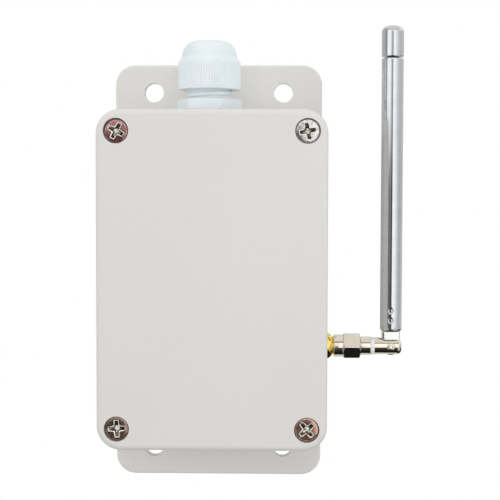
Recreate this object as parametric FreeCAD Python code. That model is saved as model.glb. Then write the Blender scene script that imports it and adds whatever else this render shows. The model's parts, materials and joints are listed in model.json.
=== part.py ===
import FreeCAD, Part
import math
import os

# Wall-mounted remote control power switch: a two-part plastic enclosure with mounting ears, a
# cable gland on top, and a folding telescopic antenna on a coaxial connector at the right side.
# Millimetres. The back of the enclosure lies on the wall, in the plane y = 0, and -Y points at
# the viewer. +Z is up. The origin is the centre of the back face.

# Enclosure shells
BODY_WIDTH = 74.5
BODY_HEIGHT = 110.0
BODY_DEPTH = 52.0
BODY_CORNER_RADIUS = 7.9
LID_DEPTH = 11.0
LID_OVERHANG = 0.5
LID_FACE_THICKNESS = 3.0
LID_EDGE_RADIUS = 1.8
WALL_THICKNESS = 2.5
FLOOR_THICKNESS = 3.0
INNER_CORNER_RADIUS = 1.6

# Shapes that repeat: thread crests, hexagon chamfers, rounded fronts, and how far a cut overshoots
THREAD_CREST_SHARE = 0.15
HEX_CHAMFER_DEGREES = 30.0
FRONT_EDGE_SHARE = 0.8
CUT_MARGIN = 1.0

# Tongue on the base, and the groove in the lid that holds the gasket
TONGUE_WIDTH = 1.0
TONGUE_HEIGHT = 1.5
TONGUE_SIDE_CLEARANCE = 0.15
GASKET_THICKNESS = 1.3

# Mounting ears: how far they reach past the enclosure, and how far the holes lie from their edges
EAR_REACH = 18.25
EAR_SIDE_INSET = 0.6
EAR_THICKNESS = 4.0
EAR_CORNER_RADIUS = 7.0
EAR_EDGE_RADIUS = 0.8
EAR_HOLE_RADIUS = 3.4
EAR_HOLE_FROM_SIDE = 13.65
EAR_HOLE_FROM_END = 9.75

# Lid screws and the solid corner posts that they go into
LID_SCREW_FROM_SIDE = 6.55
LID_SCREW_FROM_END = 7.0
LID_SCREW_HEAD_RADIUS = 3.6
LID_SCREW_HEAD_HEIGHT = 2.4
LID_SCREW_HEAD_SUNK = 0.9
LID_SCREW_SHANK_RADIUS = 1.95
LID_SCREW_LENGTH = 20.0
LID_SCREW_TIP_LENGTH = 1.2
LID_SCREW_WELL_CLEARANCE = 0.5
LID_SCREW_HOLE_CLEARANCE = 0.25
LID_SCREW_THREAD_CLEARANCE = 0.06
LID_POST_WALL = 2.3
LID_SCREW_DOME_HEIGHT = 0.7
LID_SCREW_DOME_FLAT_RADIUS = 2.9
CROSS_RECESS_LENGTH = 5.2
CROSS_RECESS_WIDTH = 1.3
CROSS_RECESS_DEPTH = 1.5
CROSS_RECESS_TURNS = {(-1, 1): 45.0, (1, 1): 12.0, (-1, -1): 3.0, (1, -1): 40.0}

# Cable gland, on the top wall, along +Z
GLAND_X = -2.0
GLAND_FROM_SEAM = 13.0
GLAND_THREAD_RADIUS = 7.6
GLAND_THREAD_PITCH = 1.411
GLAND_THREAD_DEPTH = 0.45
GLAND_WALL_THREAD_LENGTH = 8.5
GLAND_NECK_THREAD_PITCH = 2.2
GLAND_NECK_THREAD_DEPTH = 0.6
GLAND_HEX_ACROSS_FLATS = 19.2
GLAND_HEX_HEIGHT = 3.9
GLAND_HEX_TURN = -6.9
GLAND_NECK_LENGTH = 8.6
GLAND_BORE_RADIUS = 4.6
GLAND_WASHER_THICKNESS = 1.0
GLAND_WASHER_RADIUS = 9.4
GLAND_HOLE_CLEARANCE = 0.1
LOCK_NUT_ACROSS_FLATS = 21.0
LOCK_NUT_HEIGHT = 4.8
THREAD_CLEARANCE = 0.05
DOME_NUT_GAP = 3.2
DOME_NUT_HEIGHT = 16.2
DOME_NUT_RIB_RADIUS = 10.5
DOME_NUT_RIB_DEPTH = 0.3
DOME_NUT_RIB_COUNT = 72
DOME_NUT_SKIRT_HEIGHT = 9.1
DOME_NUT_CHAMFER_HEIGHT = 1.9
DOME_NUT_SHOULDER_RADIUS = 9.2
DOME_NUT_TOP_RADIUS = 4.9
DOME_NUT_EDGE_ROUND = 0.25
DOME_NUT_STOP_GAP = 0.4
DOME_NUT_TOP_THICKNESS = 2.0
DOME_NUT_MOUTH_RADIUS = 4.3
CLAMP_RING_RADIUS = 6.25
CLAMP_RING_HEIGHT = 4.2
CLAMP_CLEARANCE = 0.05
CLAMP_CLAW_COUNT = 10
CLAMP_CLAW_SLOT = 0.8
CLAMP_CLAW_TOP_RADIUS = 5.3
CLAMP_NUT_GAP = 0.25
CABLE_RADIUS = 4.0
SEAL_WALL = 1.0
SEAL_LENGTH = 12.0

# Coaxial bulkhead connector, on the right wall, along +X
JACK_FROM_SEAM = 17.0
JACK_Z = -24.0
JACK_THREAD_RADIUS = 3.175
JACK_THREAD_PITCH = 0.706
JACK_THREAD_DEPTH = 0.3
JACK_FLANGE_ACROSS_FLATS = 8.0
JACK_FLANGE_THICKNESS = 2.0
JACK_TAIL_RADIUS = 2.5
JACK_TAIL_LENGTH = 6.0
JACK_BORE_RADIUS = 2.05
JACK_CONTACT_RADIUS = 0.8
JACK_CONTACT_BORE_RADIUS = 0.5
JACK_CONTACT_BORE_DEPTH = 4.0
JACK_CONTACT_SUNK = 2.0
JACK_HOLE_CLEARANCE = 0.1
PANEL_NUT_ACROSS_FLATS = 8.0
PANEL_NUT_THICKNESS = 2.0
PANEL_NUT_TURN = 9.6
LOCK_WASHER_THICKNESS = 0.6
LOCK_WASHER_RADIUS = 4.3
LOCK_WASHER_TOOTH_DEPTH = 0.6
LOCK_WASHER_TEETH = 16

# Antenna plug: coupling nut, plug body, pin and insulating ring
COUPLING_NUT_GAP = 1.0
COUPLING_SLEEVE_RADIUS = 3.8
COUPLING_SLEEVE_LENGTH = 3.2
COUPLING_HEX_ACROSS_FLATS = 8.0
COUPLING_HEX_LENGTH = 5.8
COUPLING_BACK_WALL = 1.1
PLUG_FLANGE_THICKNESS = 1.8
PLUG_PLAY = 0.12
PLUG_NECK_RADIUS = 2.6
PLUG_REAR_RADIUS = 3.15
PLUG_REAR_LENGTH = 3.4
PLUG_PIN_RADIUS = 0.46
PLUG_PIN_REACH = 3.2
INSULATOR_RADIUS = 3.0
INSULATOR_THICKNESS = 1.35
SPIGOT_RADIUS = 1.4
SPIGOT_LENGTH = 2.6
SPIGOT_CLEARANCE = 0.05

# Forked elbow, rivet, and the flat blade of the mast that folds in the fork
ELBOW_RADIUS = 2.9
ELBOW_LENGTH = 9.2
ELBOW_END_ROUND = 1.5
PIVOT_FROM_ELBOW_END = 3.6
FORK_SLOT_CLEARANCE = 0.1
FORK_SLOT_RUNOUT = 1.5
FORK_FLAT_RAMP = 1.0
FORK_FLAT_HEIGHT = 2.25
RIVET_RADIUS = 0.8
RIVET_HEAD_RADIUS = 1.37
RIVET_HEAD_HEIGHT = 0.55
RIVET_HEAD_RIM = 0.22
RIVET_HEAD_FLAT_RADIUS = 0.4
RIVET_SEAT_DISTANCE = 2.6
RIVET_CLEARANCE = 0.05
BLADE_WIDTH = 6.18
BLADE_THICKNESS = 1.9
BLADE_LENGTH = 5.0

# Telescopic mast, along +Z above the rivet
MAST_TUBE_RADII = [3.7, 3.15, 2.6, 2.1, 1.55]
MAST_TUBE_WALL = 0.3
MAST_TUBE_LENGTH = 92.7
MAST_TUBE_FOOT_SWAGE = 1.4
MAST_TUBE_FOOT_RADIUS = 3.15
MAST_LIP_HEIGHT = 0.7
MAST_LIP_STEP = 0.12
MAST_LIP_ROUND = 0.4
MAST_COLLAR_HEIGHT = 4.0
MAST_COLLAR_STEP = 0.7
MAST_SLIDE_CLEARANCE = 0.05
MAST_PLUG_LENGTH = 10.0
TIP_ROD_RADIUS = 1.0
TIP_CAP_RADIUS = 3.76
TIP_CAP_HEIGHT = 10.3
TIP_CAP_ROUND = 1.9
TIP_CAP_BORE_DEPTH = 6.0
TIP_CAP_GAP = 0.18
STAKE_SPHERE_RADIUS = 1.9
STAKE_DEPTH = 0.24
STAKE_HEIGHTS = [4.0, 7.3]

# Circuit board and its fixings
BOARD_SIDE_CLEARANCE = 3.5
BOARD_END_CLEARANCE = 2.5
BOARD_THICKNESS = 1.6
BOARD_CORNER_RADIUS = 2.0
BOARD_STANDOFF_HEIGHT = 6.0
BOARD_STANDOFF_RADIUS = 3.3
BOARD_SCREW_FROM_EDGE = 4.0
BOARD_SCREW_RADIUS = 1.45
BOARD_SCREW_HEAD_RADIUS = 2.8
BOARD_SCREW_HEAD_HEIGHT = 1.9
BOARD_SCREW_HEAD_CHAMFER = 0.6
BOARD_SCREW_LENGTH = 6.5
BOARD_HOLE_CLEARANCE = 0.2
SLOT_WIDTH = 0.8
SLOT_DEPTH = 0.9

# Terminal block for the four mains wires
TERMINAL_WAYS = 4
TERMINAL_PITCH = 7.6
TERMINAL_DEPTH = 11.0
TERMINAL_HEIGHT = 13.0
TERMINAL_FROM_EDGE = 1.5
TERMINAL_CORNER_RADIUS = 0.5
TERMINAL_EDGE_RADIUS = 0.8
TERMINAL_WINDOW = 3.8
TERMINAL_WINDOW_HEIGHT = 3.8
TERMINAL_WELL_RADIUS = 2.2
TERMINAL_SCREW_RADIUS = 1.9
TERMINAL_SHANK_RADIUS = 1.15
TERMINAL_SCREW_SUNK = 1.2
TERMINAL_CLAMP_SIZE = 5.4
TERMINAL_CLAMP_WALL = 0.8
TERMINAL_CLAMP_HEIGHT = 2.5

# Parts on the board, with their sizes along x, along z, and out from the board
PART_GAP = 3.0
PART_FROM_EDGE = 2.0
RELAY_SIZE = (29.0, 25.0, 19.0)
RELAY_EDGE_RADIUS = 1.0
SUPPLY_SIZE = (20.0, 26.0, 15.0)
SUPPLY_EDGE_RADIUS = 0.8
FILM_CAPACITOR_SIZE = (18.0, 8.0, 14.0)
FILM_CAPACITOR_EDGE_RADIUS = 0.7
BULK_CAPACITOR_RADIUS = 4.0
BULK_CAPACITOR_HEIGHT = 12.0
BULK_CAPACITOR_GROOVE = 0.35
BULK_CAPACITOR_GROOVE_HEIGHT = 1.2
VARISTOR_RADIUS = 5.0
VARISTOR_THICKNESS = 4.0
VARISTOR_EDGE_RADIUS = 1.2
VARISTOR_STAND = 1.2
VARISTOR_LEAD_RADIUS = 0.4
VARISTOR_LEAD_SPACING = 5.0
FUSE_RADIUS = 2.6
FUSE_LENGTH = 20.0
FUSE_CAP_LENGTH = 5.2
FUSE_CAP_WALL = 0.25
FUSE_AXIS_HEIGHT = 6.0
FUSE_BASE_MARGIN = 2.5
FUSE_BASE_WIDTH = 7.4
FUSE_BASE_HEIGHT = 2.4
FUSE_BASE_EDGE_RADIUS = 0.5
FUSE_CLIP_THICKNESS = 0.5
FUSE_CLIP_WIDTH = 4.0
FUSE_CLIP_CLEARANCE = 0.03
FUSE_CLIP_MOUTH = 0.5
CHIP_SIZE = (9.9, 3.9, 1.5)
CHIP_CORNER_RADIUS = 0.2
CHIP_STAND = 0.1
CHIP_LEAD_PITCH = 1.27
CHIP_LEAD_COUNT = 7
CHIP_LEAD_SIZE = (0.42, 1.1, 0.8)
RECEIVER_SIZE = (20.0, 8.0, 1.0)
RECEIVER_CORNER_RADIUS = 0.4
RECEIVER_STAND = 2.2
RECEIVER_PIN_COUNT = 6
RECEIVER_PIN_PITCH = 2.54
RECEIVER_PIN_SIDE = 0.6
RECEIVER_PIN_REACH = 3.6
RECEIVER_PIN_FROM_EDGE = 1.5
CRYSTAL_SIZE = (8.0, 3.6, 3.0)
CRYSTAL_EDGE_RADIUS = 0.4
CRYSTAL_END_FLAT = 0.1
CRYSTAL_FROM_EDGE = 0.8
BUTTON_SIZE = 6.0
BUTTON_HOUSING_HEIGHT = 3.5
BUTTON_PLUNGER_RADIUS = 1.75
BUTTON_PLUNGER_PROUD = 1.5
BUTTON_TRAVEL = 0.3
BUTTON_CLEARANCE = 0.08
BUTTON_FLOOR = 1.0
BUTTON_EDGE_RADIUS = 0.4
LAMP_RADIUS = 1.5
LAMP_RIM_RADIUS = 1.9
LAMP_RIM_HEIGHT = 1.0
LAMP_HEIGHT = 4.6

# Coaxial lead from the connector to the board
LEAD_RADIUS = 0.9
LEAD_REACH = 11.0
LEAD_BEND_SHARE = 0.45
LEAD_PAD_SIZE = (3.0, 3.0, 1.2)
LEAD_PAD_CORNER_RADIUS = 0.6

X_AXIS = FreeCAD.Vector(1, 0, 0)
Y_AXIS = FreeCAD.Vector(0, 1, 0)
Z_AXIS = FreeCAD.Vector(0, 0, 1)
TO_VIEWER = FreeCAD.Vector(0, -1, 0)
CORNERS = [(-1, 1), (1, 1), (-1, -1), (1, -1)]
DIAGONAL = math.sin(math.radians(45))

# Enclosure places
SEAM_Y = -(BODY_DEPTH - LID_DEPTH)
FACE_Y = -BODY_DEPTH
LID_INNER_Y = FACE_Y + LID_FACE_THICKNESS
BASE_WIDTH = BODY_WIDTH - 2 * LID_OVERHANG
BASE_HEIGHT = BODY_HEIGHT - 2 * LID_OVERHANG
BASE_CORNER_RADIUS = BODY_CORNER_RADIUS - LID_OVERHANG
CAVITY_X = BASE_WIDTH / 2 - WALL_THICKNESS
CAVITY_Z = BASE_HEIGHT / 2 - WALL_THICKNESS
TONGUE_INNER = (WALL_THICKNESS - TONGUE_WIDTH) / 2
EAR_HALF_X = BODY_WIDTH / 2 - EAR_SIDE_INSET
EAR_HALF_Z = BODY_HEIGHT / 2 + EAR_REACH
EAR_HOLE_X = EAR_HALF_X - EAR_HOLE_FROM_SIDE
EAR_HOLE_Z = EAR_HALF_Z - EAR_HOLE_FROM_END
SCREW_X = BODY_WIDTH / 2 - LID_SCREW_FROM_SIDE
SCREW_Z = BODY_HEIGHT / 2 - LID_SCREW_FROM_END
POST_REACH = LID_SCREW_SHANK_RADIUS + LID_SCREW_THREAD_CLEARANCE + LID_POST_WALL
HEAD_FRONT_Y = FACE_Y + LID_SCREW_HEAD_SUNK
HEAD_BACK_Y = HEAD_FRONT_Y + LID_SCREW_HEAD_HEIGHT

# Gland places
GLAND_CENTRE = FreeCAD.Vector(GLAND_X, SEAM_Y + GLAND_FROM_SEAM, 0)
TOP_WALL_Z = BASE_HEIGHT / 2
TOP_WALL_INNER_Z = TOP_WALL_Z - WALL_THICKNESS
GLAND_HEX_LOW_Z = TOP_WALL_Z + GLAND_WASHER_THICKNESS
GLAND_HEX_TOP_Z = GLAND_HEX_LOW_Z + GLAND_HEX_HEIGHT
GLAND_NECK_TOP_Z = GLAND_HEX_TOP_Z + GLAND_NECK_LENGTH
DOME_NUT_LOW_Z = GLAND_HEX_TOP_Z + DOME_NUT_GAP
DOME_NUT_TOP_Z = DOME_NUT_LOW_Z + DOME_NUT_HEIGHT
CLAMP_TRAVEL = DOME_NUT_GAP - DOME_NUT_STOP_GAP
CLAMP_LOW_Z = GLAND_NECK_TOP_Z - CLAMP_RING_HEIGHT
CLAMP_SEAT_Z = CLAMP_LOW_Z - CLAMP_TRAVEL - CLAMP_NUT_GAP
DOME_CAVITY_LOW_Z = GLAND_NECK_TOP_Z + CLAMP_TRAVEL + CLAMP_NUT_GAP
DOME_CAVITY_TOP_Z = DOME_NUT_TOP_Z - DOME_NUT_TOP_THICKNESS
CLAMP_TOP_Z = DOME_CAVITY_TOP_Z - CLAMP_NUT_GAP

# Connector, plug and elbow places
JACK_CENTRE = FreeCAD.Vector(0, SEAM_Y + JACK_FROM_SEAM, JACK_Z)
JACK_Y = JACK_CENTRE.y
RIGHT_WALL_X = BASE_WIDTH / 2
RIGHT_WALL_INNER_X = RIGHT_WALL_X - WALL_THICKNESS
JACK_FLANGE_X = RIGHT_WALL_INNER_X - JACK_FLANGE_THICKNESS
JACK_TAIL_X = JACK_FLANGE_X - JACK_TAIL_LENGTH
PANEL_NUT_X = RIGHT_WALL_X + LOCK_WASHER_THICKNESS
COUPLING_X = PANEL_NUT_X + PANEL_NUT_THICKNESS + COUPLING_NUT_GAP
COUPLING_HEX_X = COUPLING_X + COUPLING_SLEEVE_LENGTH
COUPLING_END_X = COUPLING_HEX_X + COUPLING_HEX_LENGTH
COUPLING_BORE_END_X = COUPLING_END_X - COUPLING_BACK_WALL
PLUG_FLANGE_END_X = COUPLING_BORE_END_X - PLUG_PLAY
JACK_FRONT_X = PLUG_FLANGE_END_X - PLUG_FLANGE_THICKNESS
JACK_CONTACT_FRONT_X = JACK_FRONT_X - JACK_CONTACT_SUNK
PLUG_REAR_X = COUPLING_END_X + PLUG_PLAY
INSULATOR_X = PLUG_REAR_X + PLUG_REAR_LENGTH
ELBOW_X = INSULATOR_X + INSULATOR_THICKNESS
ELBOW_END_X = ELBOW_X + ELBOW_LENGTH
PIVOT_X = ELBOW_END_X - PIVOT_FROM_ELBOW_END
PIVOT = FreeCAD.Vector(PIVOT_X, JACK_Y, JACK_Z)

# Mast places
MAST_AXIS = FreeCAD.Vector(PIVOT_X, JACK_Y, 0)
MAST_FOOT_Z = JACK_Z + BLADE_LENGTH
MAST_TOP_Z = MAST_FOOT_Z + MAST_TUBE_LENGTH
MAST_PLUG_TOP_Z = MAST_FOOT_Z + MAST_PLUG_LENGTH
TIP_CAP_Z = MAST_TOP_Z + (len(MAST_TUBE_RADII) - 1) * MAST_LIP_STEP + TIP_CAP_GAP

# Places on the circuit board, as (x, z) centres, set out from its edges
BOARD_BACK_Y = -(FLOOR_THICKNESS + BOARD_STANDOFF_HEIGHT)
BOARD_FRONT_Y = BOARD_BACK_Y - BOARD_THICKNESS
BOARD_HALF_X = CAVITY_X - BOARD_SIDE_CLEARANCE
BOARD_HALF_Z = SCREW_Z - POST_REACH - BOARD_END_CLEARANCE
LEFT_X = -BOARD_HALF_X + PART_FROM_EDGE
RIGHT_X = BOARD_HALF_X - PART_FROM_EDGE
BOTTOM_Z = -BOARD_HALF_Z + PART_FROM_EDGE
SCREW_HEAD_REACH = BOARD_SCREW_FROM_EDGE + BOARD_SCREW_HEAD_RADIUS + PART_GAP
TERMINAL_X = GLAND_X
TERMINAL_Z = BOARD_HALF_Z - TERMINAL_FROM_EDGE - TERMINAL_DEPTH / 2
TERMINAL_CLAMP_BACK_Y = BOARD_FRONT_Y - TERMINAL_CLAMP_HEIGHT
TERMINAL_CLAMP_FRONT_Y = TERMINAL_CLAMP_BACK_Y - TERMINAL_CLAMP_SIZE
TOP_ROW_Z = TERMINAL_Z - TERMINAL_DEPTH / 2 - PART_GAP
RELAY_CENTRE = (LEFT_X + RELAY_SIZE[0] / 2, TOP_ROW_Z - RELAY_SIZE[1] / 2)
SUPPLY_CENTRE = (RIGHT_X - SUPPLY_SIZE[0] / 2, TOP_ROW_Z - SUPPLY_SIZE[1] / 2)
MIDDLE_ROW_Z = TOP_ROW_Z - max(RELAY_SIZE[1], SUPPLY_SIZE[1]) - PART_GAP
FILM_CAPACITOR_CENTRE = (LEFT_X + FILM_CAPACITOR_SIZE[0] / 2, MIDDLE_ROW_Z - FILM_CAPACITOR_SIZE[1] / 2)
BULK_CAPACITOR_CENTRE = (
    LEFT_X + FILM_CAPACITOR_SIZE[0] + PART_GAP + BULK_CAPACITOR_RADIUS,
    MIDDLE_ROW_Z - BULK_CAPACITOR_RADIUS,
)
VARISTOR_CENTRE = (
    BULK_CAPACITOR_CENTRE[0] + BULK_CAPACITOR_RADIUS + PART_GAP + VARISTOR_RADIUS,
    MIDDLE_ROW_Z - VARISTOR_THICKNESS / 2,
)
FUSE_BASE_SIZE = (FUSE_LENGTH + 2 * FUSE_BASE_MARGIN, FUSE_BASE_WIDTH, FUSE_BASE_HEIGHT)
FUSE_CENTRE = (
    LEFT_X + FUSE_BASE_SIZE[0] / 2,
    MIDDLE_ROW_Z - max(FILM_CAPACITOR_SIZE[1], 2 * BULK_CAPACITOR_RADIUS) - PART_GAP - FUSE_BASE_WIDTH / 2,
)
RECEIVER_CENTRE = (
    BOARD_HALF_X - SCREW_HEAD_REACH - RECEIVER_SIZE[0] / 2, BOTTOM_Z + RECEIVER_SIZE[1] / 2
)
CHIP_CENTRE = (
    RECEIVER_CENTRE[0] - (RECEIVER_SIZE[0] - CHIP_SIZE[0]) / 2,
    BOTTOM_Z + RECEIVER_SIZE[1] + PART_GAP + CHIP_SIZE[1] / 2,
)
BUTTON_CENTRE = (-BOARD_HALF_X + SCREW_HEAD_REACH + BUTTON_SIZE / 2, BOTTOM_Z + BUTTON_SIZE / 2)
LAMP_CENTRE = (BUTTON_CENTRE[0] + BUTTON_SIZE / 2 + PART_GAP + LAMP_RIM_RADIUS, BUTTON_CENTRE[1])
LEAD_PAD_X = JACK_TAIL_X - LEAD_REACH
LEAD_PAD_FRONT_Y = BOARD_FRONT_Y - LEAD_PAD_SIZE[2]


def put(shape, origin, direction=Z_AXIS, turn=0.0):
    """Turn a shape made along +Z about its axis, and set it at origin pointing along direction."""
    pointed = FreeCAD.Rotation(Z_AXIS, direction)
    spun = FreeCAD.Rotation(Z_AXIS, turn)
    placed = shape.copy()
    placed.Placement = FreeCAD.Placement(origin, pointed.multiply(spun))
    return placed


def rod(radius, low, high, origin, direction=Z_AXIS):
    """A cylinder from low to high along an axis through origin."""
    cylinder = Part.makeCylinder(radius, high - low, FreeCAD.Vector(0, 0, low))
    return put(cylinder, origin, direction)


def ring(outer, inner, low, high, origin, direction=Z_AXIS):
    """A plain ring from low to high along an axis through origin."""
    return rod(outer, low, high, origin, direction).cut(rod(inner, low, high, origin, direction))


def turned(profile, origin, direction=Z_AXIS):
    """A solid of revolution from a closed profile of (radius, height) points.

    A point of four numbers ends an arc: its middle point comes first, then its end.
    """
    edges = []
    start = FreeCAD.Vector(profile[0][0], 0, profile[0][1])
    first = start
    for point in profile[1:]:
        end = FreeCAD.Vector(point[-2], 0, point[-1])
        if len(point) == 4:
            middle = FreeCAD.Vector(point[0], 0, point[1])
            edges.append(Part.Arc(start, middle, end).toShape())
        else:
            edges.append(Part.LineSegment(start, end).toShape())
        start = end
    edges.append(Part.LineSegment(start, first).toShape())
    face = Part.Face(Part.Wire(edges))
    solid = face.revolve(FreeCAD.Vector(0, 0, 0), Z_AXIS, 360)
    return put(solid, origin, direction)


def shoulder(inner, outer, low, high):
    """The middle point of a rounded shoulder that runs from (outer, low) to (inner, high)."""
    return (inner + (outer - inner) * DIAGONAL, low + (high - low) * DIAGONAL)


def thread_points(radius, depth, pitch, low, high):
    """Profile points up a thread, drawn as a row of ring grooves one pitch apart."""
    points = [(radius, low)]
    turns = int((high - low) / pitch)
    margin = ((high - low) - turns * pitch) / 2
    for turn in range(turns):
        height = low + margin + turn * pitch
        points.append((radius, height + THREAD_CREST_SHARE * pitch))
        points.append((radius - depth, height + pitch / 2))
        points.append((radius, height + (1 - THREAD_CREST_SHARE) * pitch))
    points.append((radius, high))
    return points


def hexagon(across_flats, low, high, origin, direction=Z_AXIS, turn=0.0):
    """A hexagonal bar with its corners chamfered at both ends."""
    corner = across_flats / math.sqrt(3)
    rim = (corner - across_flats / 2) * math.tan(math.radians(HEX_CHAMFER_DEGREES))
    points = []
    for step in range(7):
        angle = math.radians(60 * step)
        points.append(FreeCAD.Vector(corner * math.cos(angle), corner * math.sin(angle), low))
    bar = Part.Face(Part.makePolygon(points)).extrude(FreeCAD.Vector(0, 0, high - low))
    flat = across_flats / 2
    barrel = turned(
        [(0, low), (flat, low), (corner, low + rim), (corner, high - rim), (flat, high), (0, high)],
        FreeCAD.Vector(0, 0, 0),
    )
    return put(bar.common(barrel), origin, direction, turn)


def rounded_outline(points, radius):
    """A closed wire in the plane y = 0 through (x, z) corners, each corner rounded."""
    count = len(points)
    corners = [FreeCAD.Vector(x, 0, z) for x, z in points]
    starts = []
    ends = []
    middles = []
    for index in range(count):
        here = corners[index]
        back = corners[index - 1].sub(here)
        ahead = corners[(index + 1) % count].sub(here)
        half = back.getAngle(ahead) / 2
        setback = radius / math.tan(half)
        back.normalize()
        ahead.normalize()
        bisector = back.add(ahead)
        bisector.normalize()
        starts.append(here.add(back.multiply(setback)))
        ends.append(here.add(ahead.multiply(setback)))
        middles.append(here.add(bisector.multiply(radius / math.sin(half) - radius)))
    edges = []
    for index in range(count):
        edges.append(Part.Arc(starts[index], middles[index], ends[index]).toShape())
        following = starts[(index + 1) % count]
        edges.append(Part.LineSegment(ends[index], following).toShape())
    return Part.Wire(edges)


def slab(points, radius, y_back, y_front):
    """A plate of a rounded outline between two distances from the wall."""
    face = Part.Face(rounded_outline(points, radius))
    face.translate(FreeCAD.Vector(0, y_back, 0))
    return face.extrude(FreeCAD.Vector(0, y_front - y_back, 0))


def rectangle(half_x, half_z, x=0.0, z=0.0):
    """The four corners of a rectangle in x and z."""
    return [
        (x - half_x, z - half_z),
        (x + half_x, z - half_z),
        (x + half_x, z + half_z),
        (x - half_x, z + half_z),
    ]


def round_front_edges(solid, y_front, radius):
    """Fillet the edges of a slab that lie wholly in its front plane."""
    edges = []
    for edge in solid.Edges:
        box = edge.BoundBox
        if abs(box.YMin - y_front) < 1e-6 and abs(box.YMax - y_front) < 1e-6:
            edges.append(edge)
    return solid.makeFillet(radius, edges)


def board_block(centre, size, radius):
    """A block with rounded upright edges and front edges, standing on the board."""
    front = BOARD_FRONT_Y - size[2]
    outline = rectangle(size[0] / 2, size[1] / 2, centre[0], centre[1])
    block = slab(outline, radius, BOARD_FRONT_Y, front)
    return round_front_edges(block, front, radius * FRONT_EDGE_SHARE)


def cavity_outline(grow):
    """The corners of the inside of the shells, which steps in round the four screw posts."""
    x = CAVITY_X + grow
    z = CAVITY_Z + grow
    post_x = SCREW_X - POST_REACH + grow
    post_z = SCREW_Z - POST_REACH + grow
    return [
        (-post_x, -z), (post_x, -z), (post_x, -post_z), (x, -post_z),
        (x, post_z), (post_x, post_z), (post_x, z), (-post_x, z),
        (-post_x, post_z), (-x, post_z), (-x, -post_z), (-post_x, -post_z),
    ]


def cavity_block(grow, y_back, y_front):
    """The inside of the shells, grown outward by a margin, between two depths."""
    return slab(cavity_outline(grow), INNER_CORNER_RADIUS, y_back, y_front)


def screw_points():
    """The centres of the four lid screws, as a corner and a point in the wall plane."""
    points = []
    for corner in CORNERS:
        points.append((corner, FreeCAD.Vector(corner[0] * SCREW_X, 0, corner[1] * SCREW_Z)))
    return points


def board_screw_points():
    """The centres of the four board screws in the wall plane."""
    points = []
    for side_x, side_z in CORNERS:
        x = side_x * (BOARD_HALF_X - BOARD_SCREW_FROM_EDGE)
        z = side_z * (BOARD_HALF_Z - BOARD_SCREW_FROM_EDGE)
        points.append(FreeCAD.Vector(x, 0, z))
    return points


def joined(shapes):
    """Several separate solids held in one node."""
    return Part.makeCompound(shapes)


def fused(first, others):
    """One solid from touching pieces, with leftover seams removed."""
    return first.multiFuse(others).removeSplitter()


def make_base():
    """Base shell with ears, screw posts, board standoffs and the two wall holes."""
    ears = slab(rectangle(EAR_HALF_X, EAR_HALF_Z), EAR_CORNER_RADIUS, 0, -EAR_THICKNESS)
    ears = round_front_edges(ears, -EAR_THICKNESS, EAR_EDGE_RADIUS)
    outer = slab(rectangle(BASE_WIDTH / 2, BASE_HEIGHT / 2), BASE_CORNER_RADIUS, 0, SEAM_Y)
    tongue_top = SEAM_Y - TONGUE_HEIGHT
    tongue = cavity_block(TONGUE_INNER + TONGUE_WIDTH, SEAM_Y, tongue_top)
    shell = fused(outer, [ears, tongue])
    shell = shell.cut(cavity_block(0, -FLOOR_THICKNESS, SEAM_Y))
    shell = shell.cut(cavity_block(TONGUE_INNER, SEAM_Y, tongue_top))
    standoffs = []
    for point in board_screw_points():
        standoffs.append(rod(BOARD_STANDOFF_RADIUS, 0, -BOARD_BACK_Y, point, TO_VIEWER))
    shell = fused(shell, standoffs)
    holes = []
    for point in board_screw_points():
        holes.append(rod(BOARD_SCREW_RADIUS, FLOOR_THICKNESS / 2, -BOARD_BACK_Y, point, TO_VIEWER))
    post_hole_radius = LID_SCREW_SHANK_RADIUS + LID_SCREW_THREAD_CLEARANCE
    post_hole_back = -HEAD_BACK_Y - LID_SCREW_LENGTH - LID_SCREW_TIP_LENGTH
    for _, point in screw_points():
        holes.append(rod(post_hole_radius, post_hole_back, -SEAM_Y, point, TO_VIEWER))
    for side_x, side_z in CORNERS:
        point = FreeCAD.Vector(side_x * EAR_HOLE_X, 0, side_z * EAR_HOLE_Z)
        holes.append(rod(EAR_HOLE_RADIUS, 0, EAR_THICKNESS, point, TO_VIEWER))
    gland_hole = GLAND_THREAD_RADIUS + GLAND_HOLE_CLEARANCE
    holes.append(rod(gland_hole, TOP_WALL_INNER_Z - CUT_MARGIN, TOP_WALL_Z, GLAND_CENTRE))
    jack_hole = JACK_THREAD_RADIUS + JACK_HOLE_CLEARANCE
    jack_hole_low = RIGHT_WALL_INNER_X - CUT_MARGIN
    holes.append(rod(jack_hole, jack_hole_low, RIGHT_WALL_X, JACK_CENTRE, X_AXIS))
    return shell.cut(joined(holes))


def make_lid():
    """Lid shell with the gasket groove and four stepped screw wells."""
    outer = slab(rectangle(BODY_WIDTH / 2, BODY_HEIGHT / 2), BODY_CORNER_RADIUS, SEAM_Y, FACE_Y)
    outer = round_front_edges(outer, FACE_Y, LID_EDGE_RADIUS)
    groove_inner = TONGUE_INNER - TONGUE_SIDE_CLEARANCE
    shell = outer.cut(cavity_block(-LID_OVERHANG, SEAM_Y, LID_INNER_Y))
    return shell.cut(groove_ring(groove_inner, SEAM_Y)).cut(joined(lid_screw_wells()))


def groove_ring(inner, y_back):
    """The groove's space from a depth down to its floor."""
    outer = inner + TONGUE_WIDTH + 2 * TONGUE_SIDE_CLEARANCE
    floor_y = SEAM_Y - TONGUE_HEIGHT - GASKET_THICKNESS
    return cavity_block(outer, y_back, floor_y).cut(cavity_block(inner, y_back, floor_y))


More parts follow.
